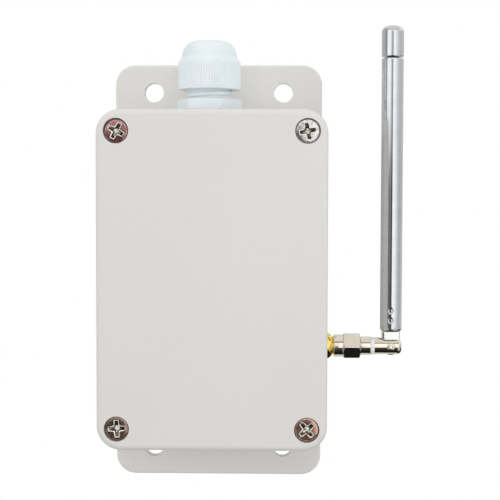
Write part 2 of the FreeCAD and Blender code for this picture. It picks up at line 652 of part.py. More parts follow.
def lid_screw_wells():
    """The head wells and shank holes of the four lid screws."""
    wells = []
    well_radius = LID_SCREW_HEAD_RADIUS + LID_SCREW_WELL_CLEARANCE
    shank_radius = LID_SCREW_SHANK_RADIUS + LID_SCREW_HOLE_CLEARANCE
    for _, point in screw_points():
        wells.append(rod(well_radius, -HEAD_BACK_Y, -FACE_Y, point, TO_VIEWER))
        wells.append(rod(shank_radius, -SEAM_Y, -HEAD_BACK_Y, point, TO_VIEWER))
    return wells


def make_gasket():
    """Rubber gasket in the lid's groove, pressed by the tongue."""
    return groove_ring(TONGUE_INNER - TONGUE_SIDE_CLEARANCE, SEAM_Y - TONGUE_HEIGHT)


def cross_recess(y_front, depth, point, turn):
    """The cross-shaped driver recess in a screw head."""
    arms = []
    for extra in (0.0, 90.0):
        arm = Part.makeBox(
            CROSS_RECESS_LENGTH, CROSS_RECESS_WIDTH, depth,
            FreeCAD.Vector(-CROSS_RECESS_LENGTH / 2, -CROSS_RECESS_WIDTH / 2, -depth),
        )
        centre = FreeCAD.Vector(point.x, y_front, point.z)
        arms.append(put(arm, centre, TO_VIEWER, turn + extra))
    return arms[0].fuse(arms[1])


def make_lid_screws():
    """Four pan-head screws with cross recesses."""
    screws = []
    head_low = -HEAD_BACK_Y
    head_top = -HEAD_FRONT_Y
    tip = head_low - LID_SCREW_LENGTH
    dome_low = head_top - LID_SCREW_DOME_HEIGHT
    flat = LID_SCREW_DOME_FLAT_RADIUS
    for corner, point in screw_points():
        profile = [
            (0, tip),
            (LID_SCREW_SHANK_RADIUS / 2, tip),
            (LID_SCREW_SHANK_RADIUS, tip + LID_SCREW_TIP_LENGTH),
            (LID_SCREW_SHANK_RADIUS, head_low),
            (LID_SCREW_HEAD_RADIUS, head_low),
            (LID_SCREW_HEAD_RADIUS, dome_low),
            shoulder(flat, LID_SCREW_HEAD_RADIUS, dome_low, head_top) + (flat, head_top),
            (0, head_top),
        ]
        screw = turned(profile, point, TO_VIEWER)
        recess = cross_recess(HEAD_FRONT_Y, CROSS_RECESS_DEPTH, point, CROSS_RECESS_TURNS[corner])
        screws.append(screw.cut(recess))
    return joined(screws)


def make_gland_body():
    """Gland body: thread through the wall, hexagon, and the coarser neck thread of the dome nut."""
    thread_low = TOP_WALL_Z - GLAND_WALL_THREAD_LENGTH
    lower = thread_points(
        GLAND_THREAD_RADIUS, GLAND_THREAD_DEPTH, GLAND_THREAD_PITCH, thread_low, GLAND_HEX_LOW_Z
    )
    upper = thread_points(
        GLAND_THREAD_RADIUS, GLAND_NECK_THREAD_DEPTH, GLAND_NECK_THREAD_PITCH,
        GLAND_HEX_TOP_Z, GLAND_NECK_TOP_Z,
    )
    stem = turned([(0, thread_low)] + lower + upper + [(0, GLAND_NECK_TOP_Z)], GLAND_CENTRE)
    nut = hexagon(
        GLAND_HEX_ACROSS_FLATS, GLAND_HEX_LOW_Z, GLAND_HEX_TOP_Z, GLAND_CENTRE, Z_AXIS, GLAND_HEX_TURN
    )
    body = fused(stem, [nut])
    body = body.cut(rod(GLAND_BORE_RADIUS, thread_low, CLAMP_SEAT_Z, GLAND_CENTRE))
    socket = CLAMP_RING_RADIUS + CLAMP_CLEARANCE
    return body.cut(rod(socket, CLAMP_SEAT_Z, GLAND_NECK_TOP_Z, GLAND_CENTRE))


def make_gland_washer():
    """Flat sealing washer between the gland's hexagon and the top wall."""
    inner = GLAND_THREAD_RADIUS + THREAD_CLEARANCE
    return ring(GLAND_WASHER_RADIUS, inner, TOP_WALL_Z, GLAND_HEX_LOW_Z, GLAND_CENTRE)


def make_gland_lock_nut():
    """Lock nut that holds the gland from inside the base."""
    low = TOP_WALL_INNER_Z - LOCK_NUT_HEIGHT
    nut = hexagon(LOCK_NUT_ACROSS_FLATS, low, TOP_WALL_INNER_Z, GLAND_CENTRE)
    bore = GLAND_THREAD_RADIUS + THREAD_CLEARANCE
    return nut.cut(rod(bore, low, TOP_WALL_INNER_Z, GLAND_CENTRE))


def dome_cavity_radius(height):
    """The radius of the dome nut's inner taper, where it squeezes the claws."""
    low_radius = CLAMP_RING_RADIUS + CLAMP_NUT_GAP
    top_radius = CLAMP_CLAW_TOP_RADIUS + CLAMP_NUT_GAP
    share = (height - DOME_CAVITY_LOW_Z) / (DOME_CAVITY_TOP_Z - DOME_CAVITY_LOW_Z)
    return low_radius + (top_radius - low_radius) * share


def make_gland_dome_nut():
    """Ribbed dome nut, whose turn presses the claws on the seal."""
    ribs = []
    for step in range(2 * DOME_NUT_RIB_COUNT + 1):
        angle = math.pi * step / DOME_NUT_RIB_COUNT
        radius = DOME_NUT_RIB_RADIUS - DOME_NUT_RIB_DEPTH * (step % 2)
        ribs.append(FreeCAD.Vector(radius * math.cos(angle), radius * math.sin(angle), DOME_NUT_LOW_Z))
    star = Part.Face(Part.makePolygon(ribs)).extrude(FreeCAD.Vector(0, 0, DOME_NUT_HEIGHT))
    star = put(star, GLAND_CENTRE)
    skirt_top = DOME_NUT_LOW_Z + DOME_NUT_SKIRT_HEIGHT
    dome_low = skirt_top + DOME_NUT_CHAMFER_HEIGHT
    middle = shoulder(DOME_NUT_TOP_RADIUS, DOME_NUT_SHOULDER_RADIUS, dome_low, DOME_NUT_TOP_Z)
    envelope = turned(
        [
            (0, DOME_NUT_LOW_Z),
            (DOME_NUT_RIB_RADIUS - DOME_NUT_EDGE_ROUND, DOME_NUT_LOW_Z),
            (DOME_NUT_RIB_RADIUS, DOME_NUT_LOW_Z + DOME_NUT_EDGE_ROUND),
            (DOME_NUT_RIB_RADIUS, skirt_top),
            (DOME_NUT_SHOULDER_RADIUS, dome_low),
            middle + (DOME_NUT_TOP_RADIUS, DOME_NUT_TOP_Z),
            (0, DOME_NUT_TOP_Z),
        ],
        GLAND_CENTRE,
    )
    nut = star.common(envelope)
    bore = turned(
        [
            (0, DOME_NUT_LOW_Z),
            (GLAND_THREAD_RADIUS + THREAD_CLEARANCE, DOME_NUT_LOW_Z),
            (GLAND_THREAD_RADIUS + THREAD_CLEARANCE, DOME_CAVITY_LOW_Z),
            (dome_cavity_radius(DOME_CAVITY_LOW_Z), DOME_CAVITY_LOW_Z),
            (dome_cavity_radius(DOME_CAVITY_TOP_Z), DOME_CAVITY_TOP_Z),
            (DOME_NUT_MOUTH_RADIUS, DOME_CAVITY_TOP_Z),
            (DOME_NUT_MOUTH_RADIUS, DOME_NUT_TOP_Z),
            (0, DOME_NUT_TOP_Z),
        ],
        GLAND_CENTRE,
    )
    return nut.cut(bore)


def make_gland_clamp():
    """Clamping insert: a ring with claws that the dome nut bends in on the seal."""
    seal_radius = CABLE_RADIUS + SEAL_WALL
    outside = turned(
        [
            (0, CLAMP_LOW_Z),
            (CLAMP_RING_RADIUS, CLAMP_LOW_Z),
            (CLAMP_RING_RADIUS, DOME_CAVITY_LOW_Z),
            (CLAMP_CLAW_TOP_RADIUS, CLAMP_TOP_Z),
            (0, CLAMP_TOP_Z),
        ],
        GLAND_CENTRE,
    )
    insert = outside.cut(rod(seal_radius, CLAMP_LOW_Z, CLAMP_TOP_Z, GLAND_CENTRE))
    slots = []
    slot_low = GLAND_NECK_TOP_Z
    for step in range(CLAMP_CLAW_COUNT):
        slot = Part.makeBox(
            2 * CLAMP_RING_RADIUS, CLAMP_CLAW_SLOT, CLAMP_TOP_Z - slot_low,
            FreeCAD.Vector(0, -CLAMP_CLAW_SLOT / 2, slot_low),
        )
        slots.append(put(slot, GLAND_CENTRE, Z_AXIS, 360 * step / CLAMP_CLAW_COUNT))
    return insert.cut(joined(slots))


def make_gland_seal():
    """Rubber sleeve that grips the cable inside the claws."""
    high = CLAMP_TOP_Z
    return ring(CABLE_RADIUS + SEAL_WALL, CABLE_RADIUS, high - SEAL_LENGTH, high, GLAND_CENTRE)


def make_jack_shell():
    """Gold-plated connector shell: tail and flange inside, thread out through the wall."""
    thread = thread_points(
        JACK_THREAD_RADIUS, JACK_THREAD_DEPTH, JACK_THREAD_PITCH, RIGHT_WALL_INNER_X, JACK_FRONT_X
    )
    stem = turned([(0, RIGHT_WALL_INNER_X)] + thread + [(0, JACK_FRONT_X)], JACK_CENTRE, X_AXIS)
    flange = hexagon(
        JACK_FLANGE_ACROSS_FLATS, JACK_FLANGE_X, RIGHT_WALL_INNER_X, JACK_CENTRE, X_AXIS
    )
    tail = rod(JACK_TAIL_RADIUS, JACK_TAIL_X, JACK_FLANGE_X, JACK_CENTRE, X_AXIS)
    shell = fused(stem, [flange, tail])
    return shell.cut(rod(JACK_BORE_RADIUS, JACK_TAIL_X, JACK_FRONT_X, JACK_CENTRE, X_AXIS))


def make_jack_insulator():
    """White insulator that centres the contact in the connector shell."""
    front = JACK_CONTACT_FRONT_X
    return ring(JACK_BORE_RADIUS, JACK_CONTACT_RADIUS, JACK_TAIL_X, front, JACK_CENTRE, X_AXIS)


def make_jack_contact():
    """Centre contact, with a socket at its front for the plug's pin."""
    front = JACK_CONTACT_FRONT_X
    pin = rod(JACK_CONTACT_RADIUS, JACK_TAIL_X, front, JACK_CENTRE, X_AXIS)
    low = front - JACK_CONTACT_BORE_DEPTH
    return pin.cut(rod(JACK_CONTACT_BORE_RADIUS, low, front, JACK_CENTRE, X_AXIS))


def make_lock_washer():
    """Toothed lock washer under the panel nut."""
    points = []
    for step in range(2 * LOCK_WASHER_TEETH + 1):
        angle = math.pi * step / LOCK_WASHER_TEETH
        radius = LOCK_WASHER_RADIUS - LOCK_WASHER_TOOTH_DEPTH * (step % 2)
        points.append(FreeCAD.Vector(radius * math.cos(angle), radius * math.sin(angle), 0))
    star = Part.Face(Part.makePolygon(points)).extrude(FreeCAD.Vector(0, 0, LOCK_WASHER_THICKNESS))
    place = FreeCAD.Vector(RIGHT_WALL_X, JACK_Y, JACK_Z)
    star = put(star, place, X_AXIS)
    inner = JACK_THREAD_RADIUS + THREAD_CLEARANCE
    return star.cut(rod(inner, 0, LOCK_WASHER_THICKNESS, place, X_AXIS))


def make_panel_nut():
    """Gold-plated nut that clamps the connector to the wall."""
    high = PANEL_NUT_X + PANEL_NUT_THICKNESS
    nut = hexagon(
        PANEL_NUT_ACROSS_FLATS, PANEL_NUT_X, high, JACK_CENTRE, X_AXIS, 90 + PANEL_NUT_TURN
    )
    bore = JACK_THREAD_RADIUS + THREAD_CLEARANCE
    return nut.cut(rod(bore, PANEL_NUT_X, high, JACK_CENTRE, X_AXIS))


def make_coupling_nut():
    """Coupling nut of the antenna plug: a round sleeve, then a hexagon."""
    sleeve = rod(COUPLING_SLEEVE_RADIUS, COUPLING_X, COUPLING_HEX_X, JACK_CENTRE, X_AXIS)
    grip = hexagon(
        COUPLING_HEX_ACROSS_FLATS, COUPLING_HEX_X, COUPLING_END_X, JACK_CENTRE, X_AXIS, 90
    )
    nut = fused(sleeve, [grip])
    bore = JACK_THREAD_RADIUS + THREAD_CLEARANCE
    nut = nut.cut(rod(bore, COUPLING_X, COUPLING_BORE_END_X, JACK_CENTRE, X_AXIS))
    neck = PLUG_NECK_RADIUS + THREAD_CLEARANCE
    return nut.cut(rod(neck, COUPLING_BORE_END_X, COUPLING_END_X, JACK_CENTRE, X_AXIS))


def make_plug_body():
    """Plug body, held in the coupling nut by its front flange."""
    body = turned(
        [
            (0, JACK_FRONT_X),
            (JACK_THREAD_RADIUS - THREAD_CLEARANCE, JACK_FRONT_X),
            (JACK_THREAD_RADIUS - THREAD_CLEARANCE, PLUG_FLANGE_END_X),
            (PLUG_NECK_RADIUS, PLUG_FLANGE_END_X),
            (PLUG_NECK_RADIUS, PLUG_REAR_X),
            (PLUG_REAR_RADIUS, PLUG_REAR_X),
            (PLUG_REAR_RADIUS, INSULATOR_X),
            (0, INSULATOR_X),
        ],
        JACK_CENTRE,
        X_AXIS,
    )
    socket_low = ELBOW_X - SPIGOT_LENGTH - SPIGOT_CLEARANCE
    socket = rod(SPIGOT_RADIUS + SPIGOT_CLEARANCE, socket_low, INSULATOR_X, JACK_CENTRE, X_AXIS)
    return body.cut(socket)


def make_plug_pin():
    """Pin of the plug, in the contact of the connector."""
    return rod(PLUG_PIN_RADIUS, JACK_FRONT_X - PLUG_PIN_REACH, JACK_FRONT_X, JACK_CENTRE, X_AXIS)


def make_insulator_ring():
    """White ring between the plug body and the elbow."""
    inner = SPIGOT_RADIUS + SPIGOT_CLEARANCE
    return ring(INSULATOR_RADIUS, inner, INSULATOR_X, ELBOW_X, JACK_CENTRE, X_AXIS)


def make_elbow():
    """Elbow with a spigot that swivels in the plug, and a fork for the mast's blade."""
    round_x = ELBOW_END_X - ELBOW_END_ROUND
    round_radius = ELBOW_RADIUS - ELBOW_END_ROUND
    bar = turned(
        [
            (0, ELBOW_X - SPIGOT_LENGTH),
            (SPIGOT_RADIUS, ELBOW_X - SPIGOT_LENGTH),
            (SPIGOT_RADIUS, ELBOW_X),
            (ELBOW_RADIUS, ELBOW_X),
            (ELBOW_RADIUS, round_x),
            shoulder(round_radius, ELBOW_RADIUS, round_x, ELBOW_END_X) + (round_radius, ELBOW_END_X),
            (0, ELBOW_END_X),
        ],
        JACK_CENTRE,
        X_AXIS,
    )
    slot_half = BLADE_THICKNESS / 2 + FORK_SLOT_CLEARANCE
    slot_x = PIVOT_X - BLADE_WIDTH / 2 - FORK_SLOT_CLEARANCE
    top = JACK_Z + ELBOW_RADIUS
    low = JACK_Z - ELBOW_RADIUS
    slot_corners = [
        FreeCAD.Vector(slot_x - FORK_SLOT_RUNOUT, JACK_Y - slot_half, top),
        FreeCAD.Vector(slot_x, JACK_Y - slot_half, JACK_Z),
        FreeCAD.Vector(slot_x - FORK_SLOT_RUNOUT, JACK_Y - slot_half, low),
        FreeCAD.Vector(ELBOW_END_X, JACK_Y - slot_half, low),
        FreeCAD.Vector(ELBOW_END_X, JACK_Y - slot_half, top),
    ]
    slot_face = Part.Face(Part.makePolygon(slot_corners + slot_corners[:1]))
    slot = slot_face.extrude(FreeCAD.Vector(0, 2 * slot_half, 0))
    fork = bar.cut(slot)
    flat_z = JACK_Z + FORK_FLAT_HEIGHT
    side_y = JACK_Y - ELBOW_RADIUS
    ramp = [
        FreeCAD.Vector(slot_x - FORK_SLOT_RUNOUT, side_y, top),
        FreeCAD.Vector(slot_x + FORK_FLAT_RAMP, side_y, flat_z),
        FreeCAD.Vector(ELBOW_END_X, side_y, flat_z),
        FreeCAD.Vector(ELBOW_END_X, side_y, top),
    ]
    ramp_face = Part.Face(Part.makePolygon(ramp + ramp[:1]))
    fork = fork.cut(ramp_face.extrude(FreeCAD.Vector(0, 2 * ELBOW_RADIUS, 0)))
    fork = fork.cut(rod(RIVET_RADIUS, -ELBOW_RADIUS, ELBOW_RADIUS, PIVOT, TO_VIEWER))
    seats = []
    for direction in (Y_AXIS, TO_VIEWER):
        seats.append(rod(RIVET_HEAD_RADIUS, RIVET_SEAT_DISTANCE, ELBOW_RADIUS, PIVOT, direction))
    return fork.cut(joined(seats))


def make_rivet():
    """Rivet through the fork and the blade, with a low domed head at each end."""
    seat = RIVET_SEAT_DISTANCE
    rim = seat + RIVET_HEAD_RIM
    top = seat + RIVET_HEAD_HEIGHT
    flat = RIVET_HEAD_FLAT_RADIUS
    middle = shoulder(flat, RIVET_HEAD_RADIUS, rim, top)
    return turned(
        [
            (0, -top),
            (flat, -top),
            (middle[0], -middle[1], RIVET_HEAD_RADIUS, -rim),
            (RIVET_HEAD_RADIUS, -seat),
            (RIVET_RADIUS, -seat),
            (RIVET_RADIUS, seat),
            (RIVET_HEAD_RADIUS, seat),
            (RIVET_HEAD_RADIUS, rim),
            middle + (flat, top),
            (0, top),
        ],
        PIVOT,
        TO_VIEWER,
    )


def make_mast_foot():
    """Foot of the mast: a round plug in the outer tube, and the flat blade in the fork."""
    half = BLADE_WIDTH / 2
    blade_box = Part.makeBox(
        BLADE_WIDTH, BLADE_THICKNESS, MAST_FOOT_Z - JACK_Z,
        FreeCAD.Vector(PIVOT_X - half, JACK_Y - BLADE_THICKNESS / 2, JACK_Z),
    )
    blade_end = rod(half, -BLADE_THICKNESS / 2, BLADE_THICKNESS / 2, PIVOT, Y_AXIS)
    bore = MAST_TUBE_RADII[0] - MAST_TUBE_WALL
    swage = MAST_TUBE_FOOT_RADIUS - MAST_TUBE_WALL
    plug = turned(
        [
            (0, MAST_FOOT_Z),
            (swage, MAST_FOOT_Z),
            (bore, MAST_FOOT_Z + MAST_TUBE_FOOT_SWAGE),
            (bore, MAST_PLUG_TOP_Z),
            (0, MAST_PLUG_TOP_Z),
        ],
        MAST_AXIS,
    )
    foot = fused(blade_box, [blade_end, plug])
    hole = RIVET_RADIUS + RIVET_CLEARANCE
    return foot.cut(rod(hole, -BLADE_THICKNESS, BLADE_THICKNESS, PIVOT, Y_AXIS))


def stake_spheres():
    """The balls that press the stake marks into the outer tube."""
    spheres = []
    for height in STAKE_HEIGHTS:
        front = JACK_Y - MAST_TUBE_RADII[0] - STAKE_SPHERE_RADIUS + STAKE_DEPTH
        centre = FreeCAD.Vector(PIVOT_X, front, MAST_FOOT_Z + height)
        spheres.append(Part.makeSphere(STAKE_SPHERE_RADIUS, centre))
    return spheres


def tube_top(index):
    """The height of a tube's upper lip when the mast is pushed in."""
    return MAST_TOP_Z + index * MAST_LIP_STEP


def tube_low(index):
    """The height of an inner tube's lower end when the mast is pushed in."""
    return MAST_PLUG_TOP_Z + MAST_SLIDE_CLEARANCE + (index - 1) * MAST_COLLAR_STEP


def lip_radius(index):
    """The inner radius of a tube's lip, which guides the next tube or the tip rod."""
    radii = MAST_TUBE_RADII + [TIP_ROD_RADIUS]
    return radii[index + 1] + MAST_SLIDE_CLEARANCE


def make_outer_tube():
    """Outer tube of the mast, drawn in at its foot and rolled in at its top."""
    radius = MAST_TUBE_RADII[0]
    bore = radius - MAST_TUBE_WALL
    swage_top = MAST_FOOT_Z + MAST_TUBE_FOOT_SWAGE
    lip_low = MAST_TOP_Z - MAST_LIP_HEIGHT
    round_low = MAST_TOP_Z - MAST_LIP_ROUND
    round_radius = radius - MAST_LIP_ROUND
    tube = turned(
        [
            (MAST_TUBE_FOOT_RADIUS - MAST_TUBE_WALL, MAST_FOOT_Z),
            (MAST_TUBE_FOOT_RADIUS, MAST_FOOT_Z),
            shoulder(MAST_TUBE_FOOT_RADIUS, radius, swage_top, MAST_FOOT_Z) + (radius, swage_top),
            (radius, round_low),
            shoulder(round_radius, radius, round_low, MAST_TOP_Z) + (round_radius, MAST_TOP_Z),
            (lip_radius(0), MAST_TOP_Z),
            (lip_radius(0), lip_low),
            (bore, lip_low),
            (bore, swage_top),
        ],
        MAST_AXIS,
    )
    return tube.cut(joined(stake_spheres()))


def make_inner_tube(index):
    """An inner tube of the mast: a sliding collar below, and a guiding lip above."""
    radius = MAST_TUBE_RADII[index]
    bore = radius - MAST_TUBE_WALL
    collar = MAST_TUBE_RADII[index - 1] - MAST_TUBE_WALL - MAST_SLIDE_CLEARANCE
    low = tube_low(index)
    top = tube_top(index)
    return turned(
        [
            (bore, low),
            (collar, low),
            (collar, low + MAST_COLLAR_HEIGHT),
            (radius, low + MAST_COLLAR_HEIGHT),
            (radius, top),
            (lip_radius(index), top),
            (lip_radius(index), top - MAST_LIP_HEIGHT),
            (bore, top - MAST_LIP_HEIGHT),
        ],
        MAST_AXIS,
    )


def make_tip_rod():
    """Innermost rod of the mast, with its collar, up into the cap."""
    last = len(MAST_TUBE_RADII)
    collar = MAST_TUBE_RADII[-1] - MAST_TUBE_WALL - MAST_SLIDE_CLEARANCE
    low = tube_low(last)
    high = TIP_CAP_Z + TIP_CAP_BORE_DEPTH
    return turned(
        [
            (0, low),
            (collar, low),
            (collar, low + MAST_COLLAR_HEIGHT),
            (TIP_ROD_RADIUS, low + MAST_COLLAR_HEIGHT),
            (TIP_ROD_RADIUS, high),
            (0, high),
        ],
        MAST_AXIS,
    )


def make_tip_cap():
    """Round-topped cap on the tip rod, by which the mast is drawn out."""
    top = TIP_CAP_Z + TIP_CAP_HEIGHT
    round_low = top - TIP_CAP_ROUND
    round_radius = TIP_CAP_RADIUS - TIP_CAP_ROUND
    cap = turned(
        [
            (0, TIP_CAP_Z),
            (TIP_CAP_RADIUS, TIP_CAP_Z),
            (TIP_CAP_RADIUS, round_low),
            shoulder(round_radius, TIP_CAP_RADIUS, round_low, top) + (round_radius, top),
            (0, top),
        ],
        MAST_AXIS,
    )
    return cap.cut(rod(TIP_ROD_RADIUS, TIP_CAP_Z, TIP_CAP_Z + TIP_CAP_BORE_DEPTH, MAST_AXIS))


def make_circuit_board():
    """Circuit board, with its four screw holes."""
    outline = rectangle(BOARD_HALF_X, BOARD_HALF_Z)
    board = slab(outline, BOARD_CORNER_RADIUS, BOARD_BACK_Y, BOARD_FRONT_Y)
    holes = []
    radius = BOARD_SCREW_RADIUS + BOARD_HOLE_CLEARANCE
    for point in board_screw_points():
        holes.append(rod(radius, -BOARD_BACK_Y, -BOARD_FRONT_Y, point, TO_VIEWER))
    return board.cut(joined(holes))


def make_board_screws():
    """Four slotted screws that hold the board on the standoffs."""
    screws = []
    seat = -BOARD_FRONT_Y
    top = seat + BOARD_SCREW_HEAD_HEIGHT
    for point in board_screw_points():
        screw = turned(
            [
                (0, seat - BOARD_SCREW_LENGTH),
                (BOARD_SCREW_RADIUS, seat - BOARD_SCREW_LENGTH),
                (BOARD_SCREW_RADIUS, seat),
                (BOARD_SCREW_HEAD_RADIUS, seat),
                (BOARD_SCREW_HEAD_RADIUS, top - BOARD_SCREW_HEAD_CHAMFER),
                (BOARD_SCREW_HEAD_RADIUS - BOARD_SCREW_HEAD_CHAMFER, top),
                (0, top),
            ],
            point,
            TO_VIEWER,
        )
        screws.append(screw.cut(driver_slot(BOARD_SCREW_HEAD_RADIUS, top, point)))
    return joined(screws)


def driver_slot(radius, top, point):
    """The straight slot across a screw head that faces the viewer."""
    corner = FreeCAD.Vector(-radius, -SLOT_WIDTH / 2, top - SLOT_DEPTH)
    return put(Part.makeBox(2 * radius, SLOT_WIDTH, SLOT_DEPTH, corner), point, TO_VIEWER)


def terminal_centres():
    """The centre x of each way of the terminal block."""
    first = TERMINAL_X - TERMINAL_PITCH * (TERMINAL_WAYS - 1) / 2
    return [first + TERMINAL_PITCH * way for way in range(TERMINAL_WAYS)]


def terminal_box(x, half_x, z_low, z_high, y_back, y_front):
    """A box in one way of the terminal block."""
    return Part.makeBox(
        2 * half_x, y_back - y_front, z_high - z_low, FreeCAD.Vector(x - half_x, y_front, z_low)
    )


def make_terminal_block():
    """Housing of the terminal block, with a wire window and a screw well for each way."""
    half_width = TERMINAL_PITCH * TERMINAL_WAYS / 2
    front = BOARD_FRONT_Y - TERMINAL_HEIGHT
    outline = rectangle(half_width, TERMINAL_DEPTH / 2, TERMINAL_X, TERMINAL_Z)
    block = slab(outline, TERMINAL_CORNER_RADIUS, BOARD_FRONT_Y, front)
    block = round_front_edges(block, front, TERMINAL_EDGE_RADIUS)
    half = TERMINAL_CLAMP_SIZE / 2
    low_z = TERMINAL_Z - half
    high_z = TERMINAL_Z + half
    edge_z = TERMINAL_Z + TERMINAL_DEPTH / 2
    middle_y = (TERMINAL_CLAMP_BACK_Y + TERMINAL_CLAMP_FRONT_Y) / 2
    back_y = middle_y + TERMINAL_WINDOW_HEIGHT / 2
    front_y = middle_y - TERMINAL_WINDOW_HEIGHT / 2
    cuts = []
    for x in terminal_centres():
        cuts.append(terminal_box(x, half, low_z, high_z, TERMINAL_CLAMP_BACK_Y, TERMINAL_CLAMP_FRONT_Y))
        cuts.append(terminal_box(x, TERMINAL_WINDOW / 2, high_z, edge_z, back_y, front_y))
        well = FreeCAD.Vector(x, 0, TERMINAL_Z)
        cuts.append(rod(TERMINAL_WELL_RADIUS, -TERMINAL_CLAMP_FRONT_Y, -front, well, TO_VIEWER))
    return block.cut(joined(cuts))


def make_terminal_clamps():
    """Brass cage in each way, open towards the wire."""
    clamps = []
    half = TERMINAL_CLAMP_SIZE / 2
    inner = half - TERMINAL_CLAMP_WALL
    low_z = TERMINAL_Z - half
    high_z = TERMINAL_Z + half
    floor_y = TERMINAL_CLAMP_BACK_Y - TERMINAL_CLAMP_WALL
    roof_y = TERMINAL_CLAMP_FRONT_Y + TERMINAL_CLAMP_WALL
    for x in terminal_centres():
        cage = terminal_box(x, half, low_z, high_z, TERMINAL_CLAMP_BACK_Y, TERMINAL_CLAMP_FRONT_Y)
        cage = cage.cut(terminal_box(x, inner, low_z, high_z, floor_y, roof_y))
        point = FreeCAD.Vector(x, 0, TERMINAL_Z)
        hole = rod(TERMINAL_SHANK_RADIUS, -roof_y, -TERMINAL_CLAMP_FRONT_Y, point, TO_VIEWER)
        clamps.append(cage.cut(hole))
    return joined(clamps)


def make_terminal_screws():
    """Slotted clamping screw in each way."""
    screws = []
    top = TERMINAL_HEIGHT - BOARD_FRONT_Y - TERMINAL_SCREW_SUNK
    low = -TERMINAL_CLAMP_FRONT_Y
    for x in terminal_centres():
        point = FreeCAD.Vector(x, 0, TERMINAL_Z)
        head = rod(TERMINAL_SCREW_RADIUS, low, top, point, TO_VIEWER)
        tip = low - 2 * TERMINAL_CLAMP_WALL
        shank = rod(TERMINAL_SHANK_RADIUS, tip, low, point, TO_VIEWER)
        screw = fused(head, [shank])
        screws.append(screw.cut(driver_slot(TERMINAL_SCREW_RADIUS, top, point)))
    return joined(screws)


def make_bulk_capacitor():
    """Round capacitor with its rolled groove, standing on the board."""
    centre = FreeCAD.Vector(BULK_CAPACITOR_CENTRE[0], BOARD_FRONT_Y, BULK_CAPACITOR_CENTRE[1])
    radius = BULK_CAPACITOR_RADIUS
    groove = BULK_CAPACITOR_GROOVE
    low = BULK_CAPACITOR_GROOVE_HEIGHT
    return turned(
        [
            (0, 0),
            (radius, 0),
            (radius, low),
            (radius - groove, low + groove, radius, low + 2 * groove),
            (radius, BULK_CAPACITOR_HEIGHT - groove),
            (radius - groove, BULK_CAPACITOR_HEIGHT),
            (0, BULK_CAPACITOR_HEIGHT),
        ],
        centre,
        TO_VIEWER,
    )


def varistor_axis():
    """The centre of the varistor's disc."""
    y = BOARD_FRONT_Y - VARISTOR_STAND - VARISTOR_RADIUS
    return FreeCAD.Vector(VARISTOR_CENTRE[0], y, VARISTOR_CENTRE[1])


def make_varistor():
    """Disc-shaped surge absorber, standing on its leads."""
    half = VARISTOR_THICKNESS / 2
    rim = VARISTOR_RADIUS - VARISTOR_EDGE_RADIUS
    edge = half - VARISTOR_EDGE_RADIUS
    middle = shoulder(rim, VARISTOR_RADIUS, edge, half)
    return turned(
        [
            (0, -half),
            (rim, -half),
            (middle[0], -middle[1], VARISTOR_RADIUS, -edge),
            (VARISTOR_RADIUS, edge),
            middle + (rim, half),
            (0, half),
        ],
        varistor_axis(),
    )


def make_varistor_leads():
    """The two leads of the varistor, down to the board."""
    leads = []
    rise = math.sqrt(VARISTOR_RADIUS ** 2 - (VARISTOR_LEAD_SPACING / 2) ** 2)
    reach = VARISTOR_STAND + VARISTOR_RADIUS - rise
    for side in (-1, 1):
        point = varistor_axis()
        point.x += side * VARISTOR_LEAD_SPACING / 2
        point.y = BOARD_FRONT_Y
        lead = rod(VARISTOR_LEAD_RADIUS, 0, reach + VARISTOR_LEAD_RADIUS, point, TO_VIEWER)
        leads.append(lead.cut(rod(VARISTOR_RADIUS, -VARISTOR_THICKNESS, VARISTOR_THICKNESS, varistor_axis())))
    return joined(leads)


def fuse_axis():
    """The middle of the fuse."""
    return FreeCAD.Vector(FUSE_CENTRE[0], BOARD_FRONT_Y - FUSE_AXIS_HEIGHT, FUSE_CENTRE[1])


def make_fuse_glass():
    """Glass tube of the fuse."""
    radius = FUSE_RADIUS - FUSE_CAP_WALL
    return rod(radius, -FUSE_LENGTH / 2 + FUSE_CAP_WALL, FUSE_LENGTH / 2 - FUSE_CAP_WALL, fuse_axis(), X_AXIS)


def make_fuse_caps():
    """Metal cap on each end of the fuse."""
    caps = []
    for side in (-1, 1):
        end = side * FUSE_LENGTH / 2
        inner = end - side * FUSE_CAP_LENGTH
        floor = end - side * FUSE_CAP_WALL
        cap = rod(FUSE_RADIUS, min(end, inner), max(end, inner), fuse_axis(), X_AXIS)
        hollow = rod(FUSE_RADIUS - FUSE_CAP_WALL, min(floor, inner), max(floor, inner), fuse_axis(), X_AXIS)
        caps.append(cap.cut(hollow))
    return joined(caps)


def make_fuse_base():
    """Plastic base of the fuse holder."""
    return board_block(FUSE_CENTRE, FUSE_BASE_SIZE, FUSE_BASE_EDGE_RADIUS)


def make_fuse_clips():
    """Two sprung clips that stand on the base and hold the caps."""
    clips = []
    axis = fuse_axis()
    inner = FUSE_RADIUS + FUSE_CLIP_CLEARANCE
    outer = inner + FUSE_CLIP_THICKNESS
    base_y = BOARD_FRONT_Y - FUSE_BASE_SIZE[2]
    for side in (-1, 1):
        middle = side * (FUSE_LENGTH / 2 - FUSE_CAP_LENGTH / 2)
        low = middle - FUSE_CLIP_WIDTH / 2
        high = middle + FUSE_CLIP_WIDTH / 2
        hoop = rod(outer, low, high, axis, X_AXIS)
        foot = Part.makeBox(
            FUSE_CLIP_WIDTH, base_y - axis.y, 2 * FUSE_CLIP_THICKNESS,
            FreeCAD.Vector(axis.x + low, axis.y, axis.z - FUSE_CLIP_THICKNESS),
        )
        clip = fused(hoop, [foot]).cut(rod(inner, low, high, axis, X_AXIS))
        mouth = Part.makeBox(
            FUSE_CLIP_WIDTH, outer, 2 * outer,
            FreeCAD.Vector(axis.x + low, axis.y - outer - FUSE_CLIP_MOUTH * inner, axis.z - outer),
        )
        clips.append(clip.cut(mouth))
    return joined(clips)


